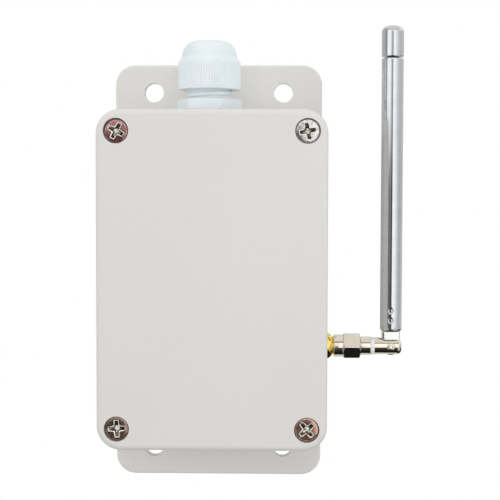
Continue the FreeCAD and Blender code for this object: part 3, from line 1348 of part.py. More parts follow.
def make_controller_chip():
    """Body of the controller chip."""
    outline = rectangle(CHIP_SIZE[0] / 2, CHIP_SIZE[1] / 2, CHIP_CENTRE[0], CHIP_CENTRE[1])
    back = BOARD_FRONT_Y - CHIP_STAND
    return slab(outline, CHIP_CORNER_RADIUS, back, back - CHIP_SIZE[2])


def make_controller_leads():
    """Leads along both long sides of the controller chip, soldered to the board."""
    leads = []
    width, length, height = CHIP_LEAD_SIZE
    first = CHIP_CENTRE[0] - CHIP_LEAD_PITCH * (CHIP_LEAD_COUNT - 1) / 2
    for side in (-1, 1):
        edge = CHIP_CENTRE[1] + side * CHIP_SIZE[1] / 2
        low = min(edge, edge + side * length)
        for index in range(CHIP_LEAD_COUNT):
            x = first + index * CHIP_LEAD_PITCH - width / 2
            corner = FreeCAD.Vector(x, BOARD_FRONT_Y - height, low)
            leads.append(Part.makeBox(width, height, length, corner))
    return joined(leads)


def receiver_back_y():
    """The depth of the receiver board's back face."""
    return BOARD_FRONT_Y - RECEIVER_STAND


def receiver_pin_points():
    """The centres of the receiver's row of pins."""
    first = RECEIVER_CENTRE[0] - RECEIVER_PIN_PITCH * (RECEIVER_PIN_COUNT - 1) / 2
    z = RECEIVER_CENTRE[1] - RECEIVER_SIZE[1] / 2 + RECEIVER_PIN_FROM_EDGE
    return [(first + RECEIVER_PIN_PITCH * index, z) for index in range(RECEIVER_PIN_COUNT)]


def receiver_pin(x, z):
    """One square pin of the receiver."""
    half = RECEIVER_PIN_SIDE / 2
    return Part.makeBox(
        RECEIVER_PIN_SIDE, RECEIVER_PIN_REACH, RECEIVER_PIN_SIDE,
        FreeCAD.Vector(x - half, BOARD_FRONT_Y - RECEIVER_PIN_REACH, z - half),
    )


def make_receiver_board():
    """Radio receiver's own small board, carried on its pins."""
    half_x = RECEIVER_SIZE[0] / 2
    half_z = RECEIVER_SIZE[1] / 2
    outline = rectangle(half_x, half_z, RECEIVER_CENTRE[0], RECEIVER_CENTRE[1])
    back = receiver_back_y()
    board = slab(outline, RECEIVER_CORNER_RADIUS, back, back - RECEIVER_SIZE[2])
    pins = [receiver_pin(x, z) for x, z in receiver_pin_points()]
    return board.cut(joined(pins))


def make_receiver_pins():
    """Pins of the receiver, through its board and down to the main board."""
    return joined([receiver_pin(x, z) for x, z in receiver_pin_points()])


def make_receiver_crystal():
    """Metal can on the receiver board."""
    half_x = CRYSTAL_SIZE[0] / 2
    half_z = CRYSTAL_SIZE[1] / 2
    z = RECEIVER_CENTRE[1] + RECEIVER_SIZE[1] / 2 - half_z - CRYSTAL_FROM_EDGE
    outline = rectangle(half_x, half_z, RECEIVER_CENTRE[0] + half_x, z)
    back = receiver_back_y() - RECEIVER_SIZE[2]
    front = back - CRYSTAL_SIZE[2]
    can = slab(outline, half_z - CRYSTAL_END_FLAT, back, front)
    return round_front_edges(can, front, CRYSTAL_EDGE_RADIUS)


def button_point():
    """The centre of the learn button on the board's face."""
    return FreeCAD.Vector(BUTTON_CENTRE[0], BOARD_FRONT_Y, BUTTON_CENTRE[1])


def make_button_housing():
    """Square housing of the learn button, with the plunger's well."""
    size = (BUTTON_SIZE, BUTTON_SIZE, BUTTON_HOUSING_HEIGHT)
    housing = board_block(BUTTON_CENTRE, size, BUTTON_EDGE_RADIUS)
    well = BUTTON_PLUNGER_RADIUS + BUTTON_CLEARANCE
    return housing.cut(rod(well, BUTTON_FLOOR, BUTTON_HOUSING_HEIGHT, button_point(), TO_VIEWER))


def make_button_plunger():
    """Plunger of the learn button, above its floor by the travel."""
    low = BUTTON_FLOOR + BUTTON_TRAVEL
    high = BUTTON_HOUSING_HEIGHT + BUTTON_PLUNGER_PROUD
    plunger = rod(BUTTON_PLUNGER_RADIUS, low, high, button_point(), TO_VIEWER)
    return round_front_edges(plunger, BOARD_FRONT_Y - high, BUTTON_EDGE_RADIUS)


def make_status_lamp():
    """Domed status lamp beside the button."""
    centre = FreeCAD.Vector(LAMP_CENTRE[0], BOARD_FRONT_Y, LAMP_CENTRE[1])
    dome = LAMP_HEIGHT - LAMP_RADIUS
    return turned(
        [
            (0, 0),
            (LAMP_RIM_RADIUS, 0),
            (LAMP_RIM_RADIUS, LAMP_RIM_HEIGHT),
            (LAMP_RADIUS, LAMP_RIM_HEIGHT),
            (LAMP_RADIUS, dome),
            shoulder(0, LAMP_RADIUS, dome, LAMP_HEIGHT) + (0, LAMP_HEIGHT),
        ],
        centre,
        TO_VIEWER,
    )


def make_antenna_lead():
    """Coaxial lead, from the connector's tail round one bend to its pad on the board."""
    start = FreeCAD.Vector(JACK_TAIL_X, JACK_Y, JACK_Z)
    corner = FreeCAD.Vector(LEAD_PAD_X, JACK_Y, JACK_Z)
    end = FreeCAD.Vector(LEAD_PAD_X, LEAD_PAD_FRONT_Y, JACK_Z)
    bend = LEAD_BEND_SHARE * min(start.sub(corner).Length, end.sub(corner).Length)
    inset = bend * (1 - DIAGONAL)
    arc_start = FreeCAD.Vector(corner.x + bend, JACK_Y, JACK_Z)
    arc_middle = FreeCAD.Vector(corner.x + inset, JACK_Y + inset, JACK_Z)
    arc_end = FreeCAD.Vector(corner.x, JACK_Y + bend, JACK_Z)
    path = Part.Wire([
        Part.LineSegment(start, arc_start).toShape(),
        Part.Arc(arc_start, arc_middle, arc_end).toShape(),
        Part.LineSegment(arc_end, end).toShape(),
    ])
    circle = Part.Wire(Part.Circle(start, X_AXIS, LEAD_RADIUS).toShape())
    lead = path.makePipeShell([circle], True, False)
    length = path.Length
    section = math.pi * LEAD_RADIUS ** 2
    print("antenna lead: bend radius", round(bend, 2), "length", round(length, 2))
    print("antenna lead: volume over section times length", round(lead.Volume / (section * length), 4))
    return lead


def make_lead_pad():
    """Solder pad and sleeve where the lead meets the board."""
    outline = rectangle(LEAD_PAD_SIZE[0] / 2, LEAD_PAD_SIZE[1] / 2, LEAD_PAD_X, JACK_Z)
    return slab(outline, LEAD_PAD_CORNER_RADIUS, BOARD_FRONT_Y, LEAD_PAD_FRONT_Y)


def build():
    """Every node of the part, by name."""
    nodes = {
        "base": make_base(),
        "lid": make_lid(),
        "lid_gasket": make_gasket(),
        "lid_screws": make_lid_screws(),
        "gland_body": make_gland_body(),
        "gland_washer": make_gland_washer(),
        "gland_lock_nut": make_gland_lock_nut(),
        "gland_dome_nut": make_gland_dome_nut(),
        "gland_clamp": make_gland_clamp(),
        "gland_seal": make_gland_seal(),
        "jack_shell": make_jack_shell(),
        "jack_insulator": make_jack_insulator(),
        "jack_contact": make_jack_contact(),
        "jack_lock_washer": make_lock_washer(),
        "jack_panel_nut": make_panel_nut(),
        "plug_coupling_nut": make_coupling_nut(),
        "plug_body": make_plug_body(),
        "plug_pin": make_plug_pin(),
        "plug_insulator": make_insulator_ring(),
        "antenna_elbow": make_elbow(),
        "antenna_rivet": make_rivet(),
        "mast_foot": make_mast_foot(),
        "mast_tube_1": make_outer_tube(),
        "tip_rod": make_tip_rod(),
        "tip_cap": make_tip_cap(),
        "circuit_board": make_circuit_board(),
        "board_screws": make_board_screws(),
        "terminal_block": make_terminal_block(),
        "terminal_clamps": make_terminal_clamps(),
        "terminal_screws": make_terminal_screws(),
        "relay": board_block(RELAY_CENTRE, RELAY_SIZE, RELAY_EDGE_RADIUS),
        "power_supply": board_block(SUPPLY_CENTRE, SUPPLY_SIZE, SUPPLY_EDGE_RADIUS),
        "film_capacitor": board_block(
            FILM_CAPACITOR_CENTRE, FILM_CAPACITOR_SIZE, FILM_CAPACITOR_EDGE_RADIUS
        ),
        "bulk_capacitor": make_bulk_capacitor(),
        "varistor": make_varistor(),
        "varistor_leads": make_varistor_leads(),
        "fuse_glass": make_fuse_glass(),
        "fuse_caps": make_fuse_caps(),
        "fuse_base": make_fuse_base(),
        "fuse_clips": make_fuse_clips(),
        "controller_chip": make_controller_chip(),
        "controller_leads": make_controller_leads(),
        "receiver_board": make_receiver_board(),
        "receiver_pins": make_receiver_pins(),
        "receiver_crystal": make_receiver_crystal(),
        "learn_button_housing": make_button_housing(),
        "learn_button": make_button_plunger(),
        "status_lamp": make_status_lamp(),
        "antenna_lead": make_antenna_lead(),
        "antenna_lead_pad": make_lead_pad(),
    }
    for index in range(1, len(MAST_TUBE_RADII)):
        nodes["mast_tube_" + str(index + 1)] = make_inner_tube(index)
    return nodes


os.makedirs("parts", exist_ok=True)
for name, shape in build().items():
    shape.exportStep("parts/" + name + ".step")
    solids = len(shape.Solids)
    print(name, "solids", solids, "volume", round(shape.Volume, 2), "valid", shape.isValid())
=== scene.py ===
import json
from math import atan2, ceil, cos, degrees, pi, radians, sin, sqrt, tan

import bmesh
import bpy
from mathutils import Matrix, Vector

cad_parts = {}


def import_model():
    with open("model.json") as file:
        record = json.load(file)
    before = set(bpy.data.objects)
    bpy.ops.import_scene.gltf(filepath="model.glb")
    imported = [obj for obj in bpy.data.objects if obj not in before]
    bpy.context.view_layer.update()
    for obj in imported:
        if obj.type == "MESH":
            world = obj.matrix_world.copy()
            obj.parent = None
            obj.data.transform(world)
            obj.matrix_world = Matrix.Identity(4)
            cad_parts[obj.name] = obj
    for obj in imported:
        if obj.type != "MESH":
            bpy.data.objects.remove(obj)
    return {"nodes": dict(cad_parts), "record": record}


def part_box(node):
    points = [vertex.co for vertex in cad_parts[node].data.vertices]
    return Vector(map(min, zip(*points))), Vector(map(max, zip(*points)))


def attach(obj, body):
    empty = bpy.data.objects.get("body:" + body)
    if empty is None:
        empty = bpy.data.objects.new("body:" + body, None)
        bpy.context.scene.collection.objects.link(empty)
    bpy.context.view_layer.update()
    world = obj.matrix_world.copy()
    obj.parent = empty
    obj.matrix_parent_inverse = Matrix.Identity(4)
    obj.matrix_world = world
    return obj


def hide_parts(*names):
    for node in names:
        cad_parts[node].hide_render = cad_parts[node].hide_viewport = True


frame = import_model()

# Looks of a wall-mounted remote control power switch. Shapes are in millimetres of the CAD frame.
MM = 0.001
X, Y, Z = range(3)
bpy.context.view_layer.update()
SLOT_OF_NODE = {part["node"]: part["material_slot"] for part in frame["record"]["subparts"]}


def span(node, axis):
    """A node's lowest and highest place along an axis, in millimetres."""
    low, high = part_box(node)
    return low[axis] / MM, high[axis] / MM


def middle(node, axis):
    """The middle of a node's box along an axis, in millimetres."""
    return sum(span(node, axis)) / 2


# Axes of the gland, the connector and the mast, the lid screws' places, and the board's front face
GLAND_X, GLAND_Y = middle("gland_dome_nut", X), middle("gland_dome_nut", Y)
JACK_Y, JACK_Z = middle("jack_shell", Y), middle("jack_shell", Z)
MAST_X, MAST_Y = middle("mast_tube_1", X), middle("tip_cap", Y)
SCREW_HEAD_RADIUS = 3.6
SCREW_X = span("lid_screws", X)[1] - SCREW_HEAD_RADIUS
SCREW_Z = span("lid_screws", Z)[1] - SCREW_HEAD_RADIUS
BOARD_FRONT = -span("circuit_board", Y)[0]


# Node helpers

def linear(*values):
    """The linear colour of 0-255 screen values."""
    shares = [value / 255.0 for value in values]
    return tuple(v / 12.92 if v <= 0.04045 else ((v + 0.055) / 1.055) ** 2.4 for v in shares) + (1.0,)


def grey(value, red=1.0, green=1.0, blue=1.0):
    """A linear brightness, with a tint where it has one."""
    return (value * red, value * green, value * blue, 1.0)


class Tree:
    """The node tree of a material or world, with short names for its nodes."""

    def __init__(self, owner):
        owner.use_nodes = True
        self.tree = owner.node_tree
        self.tree.nodes.clear()

    def feed(self, socket, value):
        """Link an output to a socket, or set the socket to a value."""
        if isinstance(value, bpy.types.NodeSocket):
            self.tree.links.new(value, socket)
        else:
            socket.default_value = value

    def add(self, kind, *values, **settings):
        """A node with its settings; the values go to its first sockets in order."""
        node = self.tree.nodes.new("ShaderNode" + kind)
        for key, value in settings.items():
            setattr(node, key, value)
        for socket, value in zip(node.inputs, values):
            self.feed(socket, value)
        return node

    def fill(self, node, **sockets):
        """Link or set a node's sockets by name, with _ for a space."""
        for key, value in sockets.items():
            self.feed(node.inputs[key.replace("_", " ")], value)
        return node

    def math(self, operation, a, b=0.0):
        return self.add("Math", a, b, operation=operation).outputs[0]

    def times(self, a, b):
        return self.math("MULTIPLY", a, b)

    def plus(self, a, b, share=1.0):
        """a and a share of b."""
        return self.math("ADD", a, b if share == 1.0 else self.times(b, share))

    def spread(self, value, low, high, to_low=0.0, to_high=1.0, kind="LINEAR"):
        """Map a range to another, with the ends held."""
        return self.add("MapRange", value, low, high, to_low, to_high, interpolation_type=kind).outputs[0]

    def mix(self, share, a, b, blend="MIX"):
        """Two colours, mixed; their sockets are the seventh and eighth."""
        node = self.add("Mix", share, data_type="RGBA", blend_type=blend)
        self.feed(node.inputs[6], a)
        self.feed(node.inputs[7], b)
        return node.outputs[2]

    def ramp(self, value, stops):
        """Colours between stops, each a place from 0 to 1 and its colour."""
        node = self.add("ValToRGB", value)
        elements = node.color_ramp.elements
        while len(elements) < len(stops):
            elements.new(0.5)
        for element, (place, colour) in zip(elements, stops):
            element.position = place
            element.color = colour
        return node.outputs[0]

    def place(self, stretch=(1, 1, 1), turn=(0, 0, 0)):
        """Object coordinates, turned and stretched."""
        place = self.add("TexCoord").outputs["Object"]
        return self.add("Mapping", place, (0, 0, 0), turn, stretch).outputs[0]

    def noise(self, scale, detail, rough, *mapping):
        """Noise of so many features per metre."""
        return self.fill(self.add("TexNoise"), Vector=self.place(*mapping), Scale=scale, Detail=detail,
                         Roughness=rough).outputs[0]

    def bump(self, height, depth, strength, **after):
        """The normal of a surface this many millimetres deep, over the bump before it as Normal."""
        return self.fill(self.add("Bump"), Strength=strength, Distance=depth * MM, Height=height,
                         **after).outputs[0]

    def shader(self, tone, rough, normal, **sockets):
        """The principled shader with its output."""
        node = self.add("BsdfPrincipled")
        self.fill(node, Base_Color=tone, Roughness=rough, Normal=normal, **sockets)
        self.add("OutputMaterial", node.outputs[0])


# Materials, by the slot that each one is for
looks = {}


def new_look(slot):
    """The empty node tree of a new material."""
    looks[slot] = bpy.data.materials.new(slot + "_look")
    return Tree(looks[slot])


def enclosure_plastic():
    """Warm light grey moulded plastic: a fine even spark texture and a barely uneven tone."""
    tree = new_look("enclosure_plastic")
    broad = tree.noise(14.0, 2.0, 0.5)
    cloud = tree.noise(420.0, 3.0, 0.6)
    spark = tree.noise(5200.0, 2.0, 0.5)
    tone = tree.mix(tree.spread(broad, 0.3, 0.7), linear(216, 214, 210), linear(219, 218, 215))
    tone = tree.mix(tree.spread(cloud, 0.35, 0.75, 0.0, 0.35), tone, linear(213, 212, 208))
    rough = tree.spread(tree.plus(cloud, spark), 0.7, 1.3, 0.36, 0.47)
    normal = tree.bump(broad, 0.05, 0.35, Normal=tree.bump(spark, 0.004, 0.8))
    tree.shader(tone, rough, normal, IOR=1.5)


def gland_nylon():
    """Cool white nylon of the gland, slightly waxy, with faint flow marks."""
    tree = new_look("gland_nylon")
    flow = tree.noise(160.0, 3.0, 0.5, (1.0, 1.0, 0.35))
    fine = tree.noise(3800.0, 3.0, 0.55)
    tone = tree.mix(tree.spread(flow, 0.3, 0.72), linear(221, 230, 234), linear(230, 236, 240))
    rough = tree.spread(tree.plus(flow, fine), 0.7, 1.3, 0.3, 0.44)
    normal = tree.bump(fine, 0.003, 0.7, Normal=tree.bump(flow, 0.05, 0.3))
    tree.shader(tone, rough, normal, IOR=1.53, Subsurface_Weight=0.12, Subsurface_Scale=0.0012,
                Subsurface_Radius=(0.9, 0.95, 1.0))


def fuse_glass():
    """Clear fuse glass, faintly uneven."""
    tree = new_look("fuse_glass")
    wave = tree.noise(300.0, 2.0, 0.5, (0.3, 1.0, 1.0))
    tone = tree.mix(wave, linear(238, 246, 244), linear(250, 252, 252))
    rough = tree.spread(wave, 0.3, 0.7, 0.02, 0.06)
    tree.shader(tone, rough, tree.bump(wave, 0.01, 0.5), Transmission_Weight=1.0, IOR=1.5)


def moulded(slot, light, dark, gloss, drift=150.0, grain=3000.0, depth=0.006, **sockets):
    """A plain moulding: two shades that drift slowly, uneven gloss, and a fine grain."""
    tree = new_look(slot)
    broad = tree.noise(drift, 3.0, 0.6)
    fine = tree.noise(grain, 4.0, 0.6)
    tone = tree.mix(tree.spread(broad, 0.3, 0.7), linear(*dark), linear(*light))
    rough = tree.spread(tree.plus(broad, fine, 0.6), 0.5, 1.1, *gloss)
    tree.shader(tone, rough, tree.bump(fine, depth, 1.0), **sockets)


def antenna_chrome():
    """Bright plated tube: long fine streaks along it, faint waves and small pits."""
    tree = new_look("antenna_chrome")
    lines = tree.noise(900.0, 5.0, 0.65, (1.0, 1.0, 0.012))
    cloud = tree.noise(260.0, 3.0, 0.6)
    pits = tree.noise(7000.0, 2.0, 0.5)
    streaks = tree.spread(tree.plus(lines, cloud), 0.7, 1.3)
    tone = tree.mix(streaks, (0.64, 0.645, 0.66, 1), (0.74, 0.75, 0.77, 1))
    rough = tree.spread(tree.plus(lines, pits, 0.5), 0.5, 1.05, 0.05, 0.13)
    normal = tree.bump(lines, 0.004, 1.0, Normal=tree.bump(pits, 0.0015, 0.7))
    tree.shader(tone, rough, normal, Metallic=1.0)


def turned_metal(slot, light, dark, gloss, mark=2600.0, depth=0.0025, spots=480.0, change=(0.32, 0.7),
                 metallic=1.0):
    """Plated turned metal: fine marks, stains that change softly or sharply, and small scratches; for the
    screws' edge and recess the light and dark tones are painted glints and painted shade instead.
    """
    tree = new_look(slot)
    marks = tree.noise(mark, 4.0, 0.6)
    stain_and_glint = tree.noise(spots, 4.0, 0.65)
    scratch = tree.noise(1500.0, 5.0, 0.7, (1.0, 6.0, 0.4), (0.3, 0.5, 0.9))
    tone = tree.mix(tree.spread(stain_and_glint, *change), (*dark, 1), (*light, 1))
    rough = tree.spread(tree.plus(stain_and_glint, scratch, 0.7), 0.55, 1.15, *gloss)
    normal = tree.bump(marks, depth, 0.8, Normal=tree.bump(scratch, depth * 1.2, 0.6))
    tree.shader(tone, rough, normal, Metallic=metallic)


def printed_board(slot, mask, copper, bare):
    """Solder mask over copper pours and square tracks, which show through it lighter."""
    tree = new_look(slot)

    def runs(turn, scale, length, pitch, line):
        """Rows of square fields in two tones, and the lines between them."""
        brick = tree.add("TexBrick", offset=0.37, offset_frequency=2, squash=0.6, squash_frequency=3)
        tree.fill(brick, Vector=tree.place((1, 1, 1), (pi / 2, 0, turn)), Color1=(0, 0, 0, 1),
                  Color2=(1, 1, 1, 1), Mortar=(0, 0, 0, 1), Scale=scale, Mortar_Size=line,
                  Brick_Width=length, Row_Height=pitch)
        return brick.outputs

    fields = runs(0.0, 60.0, 0.7, 0.45, 0.012)["Color"]
    across = runs(0.0, 100.0, 1.1, 0.16, 0.014)["Fac"]
    along = runs(pi / 2, 100.0, 0.9, 0.19, 0.014)["Fac"]
    where = tree.spread(tree.noise(70.0, 1.0, 0.4), 0.48, 0.52)
    tracks = tree.plus(tree.times(across, where), tree.times(along, tree.math("SUBTRACT", 1.0, where)))
    pour = tree.spread(fields, 0.52, 0.56, 0.0, 0.6)
    over = tree.math("MAXIMUM", pour, tree.times(tracks, 0.85))
    weave = tree.noise(1400.0, 3.0, 0.6)
    tone = tree.mix(over, linear(*mask), linear(*copper))
    tone = tree.mix(tree.spread(weave, 0.3, 0.7, 0.0, 0.25), tone, linear(*bare))
    rough = tree.spread(weave, 0.3, 0.7, 0.26, 0.4)
    normal = tree.bump(over, 0.03, 0.6, Normal=tree.bump(weave, 0.004, 0.5))
    tree.shader(tone, rough, normal, Coat_Weight=0.3, Coat_Roughness=0.2)


# Plain mouldings: slot, light and dark shade as seen on a screen, and least and most roughness
MOULDED = [
    ("gasket_rubber", (66, 66, 68), (52, 52, 54), (0.55, 0.72)),
    ("seal_rubber", (46, 47, 50), (34, 35, 38), (0.5, 0.68)),
    ("relay_black", (38, 39, 42), (27, 28, 31), (0.34, 0.5)),
    ("supply_black", (44, 45, 47), (33, 34, 36), (0.42, 0.6)),
    ("chip_black", (32, 33, 35), (22, 23, 25), (0.4, 0.58)),
    ("button_black", (38, 39, 41), (27, 28, 30), (0.36, 0.52)),
    ("film_yellow", (222, 182, 48), (206, 164, 34), (0.2, 0.32)),
    ("sleeve_dark", (42, 56, 92), (30, 42, 74), (0.22, 0.34)),
    ("varistor_blue", (52, 98, 178), (38, 80, 156), (0.24, 0.38)),
    ("terminal_green", (74, 152, 100), (58, 134, 84), (0.32, 0.46)),
    ("white_insulator", (240, 240, 240), (229, 230, 231), (0.34, 0.5)),
    ("lead_brown", (146, 98, 58), (124, 80, 44), (0.28, 0.4)),
]
# Turned metals: slot, light and dark tone, least and most roughness, and what differs from plain plate
SCREW_MOTTLE = {"mark": 2200.0, "depth": 0.006, "spots": 900.0}
METALS = [
    ("nickel_plate", (0.86, 0.81, 0.71), (0.77, 0.72, 0.62), (0.05, 0.13), {}),
    ("screw_nickel", (0.88, 0.85, 0.81), (0.72, 0.68, 0.64), (0.1, 0.22), {"mark": 2200.0, "depth": 0.005}),
    ("gold_plate", (0.94, 0.73, 0.21), (0.84, 0.63, 0.14), (0.08, 0.17), {}),
    # The crimson and reddish screw tints are partly the plating's own colour and partly a painted
    # reflection.
    ("screw_crimson_with_painted_reflection", (0.58, 0.32, 0.31), (0.30, 0.14, 0.14), (0.12, 0.26), SCREW_MOTTLE),
    ("screw_reddish_with_painted_reflection", (0.82, 0.54, 0.46), (0.40, 0.21, 0.17), (0.12, 0.26), SCREW_MOTTLE),
    ("screw_brown", (0.54, 0.38, 0.30), (0.22, 0.15, 0.12), (0.12, 0.26), SCREW_MOTTLE),
    ("screw_clean", (0.92, 0.90, 0.87), (0.42, 0.39, 0.41), (0.12, 0.26), SCREW_MOTTLE),
    # The screw edge look's near-white patches are painted glints and its dark patches painted shade.
    ("screw_edge_painted_glints", (1.0, 0.99, 0.92), (0.30, 0.23, 0.16), (0.22, 0.36),
     {"spots": 900.0, "change": (0.38, 0.46), "metallic": 0.0}),
    # The screw recess look is painted shade inside the cross, and its cream spots are painted glints.
    ("screw_recess_painted_shade", (0.86, 0.80, 0.68), (0.12, 0.09, 0.07), (0.12, 0.26),
     {"spots": 1100.0, "change": (0.56, 0.62)}),
    ("clamp_brass", (0.74, 0.58, 0.30), (0.60, 0.45, 0.21), (0.24, 0.38), {}),
    ("steel_fittings", (0.66, 0.66, 0.66), (0.54, 0.54, 0.55), (0.2, 0.36), {}),
    ("solder", (0.68, 0.69, 0.70), (0.52, 0.53, 0.55), (0.22, 0.4), {}),
    ("foot_polish", (0.80, 0.805, 0.81), (0.74, 0.745, 0.75), (0.04, 0.1), {}),
]
enclosure_plastic()
gland_nylon()
fuse_glass()
for row in MOULDED:
    moulded(*row)
moulded("lamp_red", (206, 42, 34), (176, 28, 24), (0.12, 0.22), 300.0, 4000.0, 0.002,
        Transmission_Weight=0.35, Coat_Weight=0.4)
antenna_chrome()
for *row, differences in METALS:
    turned_metal(*row, **differences)
printed_board("board_green", (20, 84, 48), (44, 124, 74), (14, 66, 38))
printed_board("receiver_blue", (26, 58, 112), (46, 92, 156), (18, 44, 92))
for node_name, node in frame["nodes"].items():
    for material_slot in node.material_slots:
        material_slot.material = looks[SLOT_OF_NODE[node_name]]


# Shape helpers

def upright(x, y):
    """Places a point of a shape whose axis stands along +Z."""
    return lambda r, a, h: Vector((x + r * cos(a), y + r * sin(a), h))


def sideways(y, z):
    """Places a point of a shape whose axis runs along +X."""
    return lambda r, a, h: Vector((h, y + r * sin(a), z - r * cos(a)))


def forward(x, z):
    """Places a point of a shape whose axis points at the viewer; h is the distance from the wall."""
    return lambda r, a, h: Vector((x + r * cos(a), -h, z + r * sin(a)))


ON_GLAND = upright(GLAND_X, GLAND_Y)
ON_JACK = sideways(JACK_Y, JACK_Z)
ON_MAST = upright(MAST_X, MAST_Y)
ON_CAPACITOR = forward(middle("bulk_capacitor", X), middle("bulk_capacitor", Z))


def even(count):
    """Even angles round a circle."""
    return [2 * pi * step / count for step in range(count)]


def swing(start, end, steps):
    """Even angles from start to end, given in degrees."""
    return [radians(start + (end - start) * step / steps) for step in range(steps + 1)]


def arc(radius, height, size, start, end, steps):
    """Profile points round an arc of this size about a point, from start to end in degrees."""
    return [(radius + size * cos(angle), height + size * sin(angle))
            for angle in swing(start, end, steps)]


def clipped(shape, limit):
    """A radius that follows a shape, but goes no further out than a limit."""
    return lambda angle: min(shape(angle), limit)


def hex_angles(turn):
    """Angles that fall on a hexagon's corners, closer together near them."""
    near = [0.0, 0.7, 1.6, 3.0, 6.0, 11.0, 17.0, 23.5, 30.0, 36.5, 43.0, 49.0, 54.0, 57.0, 58.4, 59.3]
    return [radians(turn + 60 * side + step) for side in range(6) for step in near]


def hex_radius(across, turn, clip):
    """The radius of a hexagon with its corners at turn, turned down to clip."""
    def radius(angle):
        part = (degrees(angle) - turn) % 60.0
        return min(across / 2 / cos(radians(part - 30.0)), clip)
    return radius


def hex_rows(across, low, high, turn, clip, edge):
    """Rows of a chamfered hexagonal bar from its low face to its high face.

    clip is the share of the corners' radius that is left, and edge is how far the chamfer's circle
    lies inside the flats, or outside them when it is negative.
    """
    corner, flat = across / sqrt(3), across / 2
    rim = (corner - flat + edge) * tan(radians(30))
    shape = hex_radius(across, turn, corner * clip)
    steps = [0.0, 0.1, 0.22, 0.36, 0.52, 0.7, 0.86, 1.0]
    return [(clipped(shape, flat - edge + (corner - flat + edge) * share), face + way * share)
            for face, way, shares in ((low, rim, steps), (high, -rim, reversed(steps))) for share in shares]


class Thread:
    """A right-handed helical thread between two heights.

    crest and root are shares of the pitch; runout and lead give, for the low and the high end, the
    length over which the groove fades, and the size of the chamfer.
    """

    def __init__(self, radius, depth, pitch, low, high, crest, root, runout=(0.0, 0.0), lead=(0.0, 0.0)):
        self.radius, self.depth, self.pitch, self.low, self.high = radius, depth, pitch, low, high
        self.crest, self.root, self.runout, self.lead = crest, root, runout, lead

    def at(self, angle, height):
        """The radius at an angle and height."""
        phase = ((height - self.low) / self.pitch - angle / (2 * pi)) % 1.0
        away = abs(phase - 0.5) * 2
        flank = max(1 - self.crest - self.root, 1e-6)
        cut = 1 - min(max((away - self.root) / flank, 0.0), 1.0)
        smooth = cut * cut * (3 - 2 * cut)
        cut = (smooth + cut) / 2
        inside = (height - self.low, self.high - height)
        for distance, reach in zip(inside, self.runout):
            if reach:
                cut = max(cut, 1 - min(max(distance / reach, 0.0), 1.0))
        radius = self.radius - self.depth * cut
        for distance, size in zip(inside, self.lead):
            if size:
                radius = min(radius, self.radius - size + distance)
        return radius

    def ends(self, height):
        """The row where the thread meets the next surface, as (radius, height)."""
        return (lambda angle: self.at(angle, height), height)


# Points closer than this are welded and shorter edges dissolved, in metres; and the angle in degrees
# from which the edges of small board parts stay sharp
WELD, SLIVER = 2e-7, 1e-8
BOARD_SHARP = 32.0


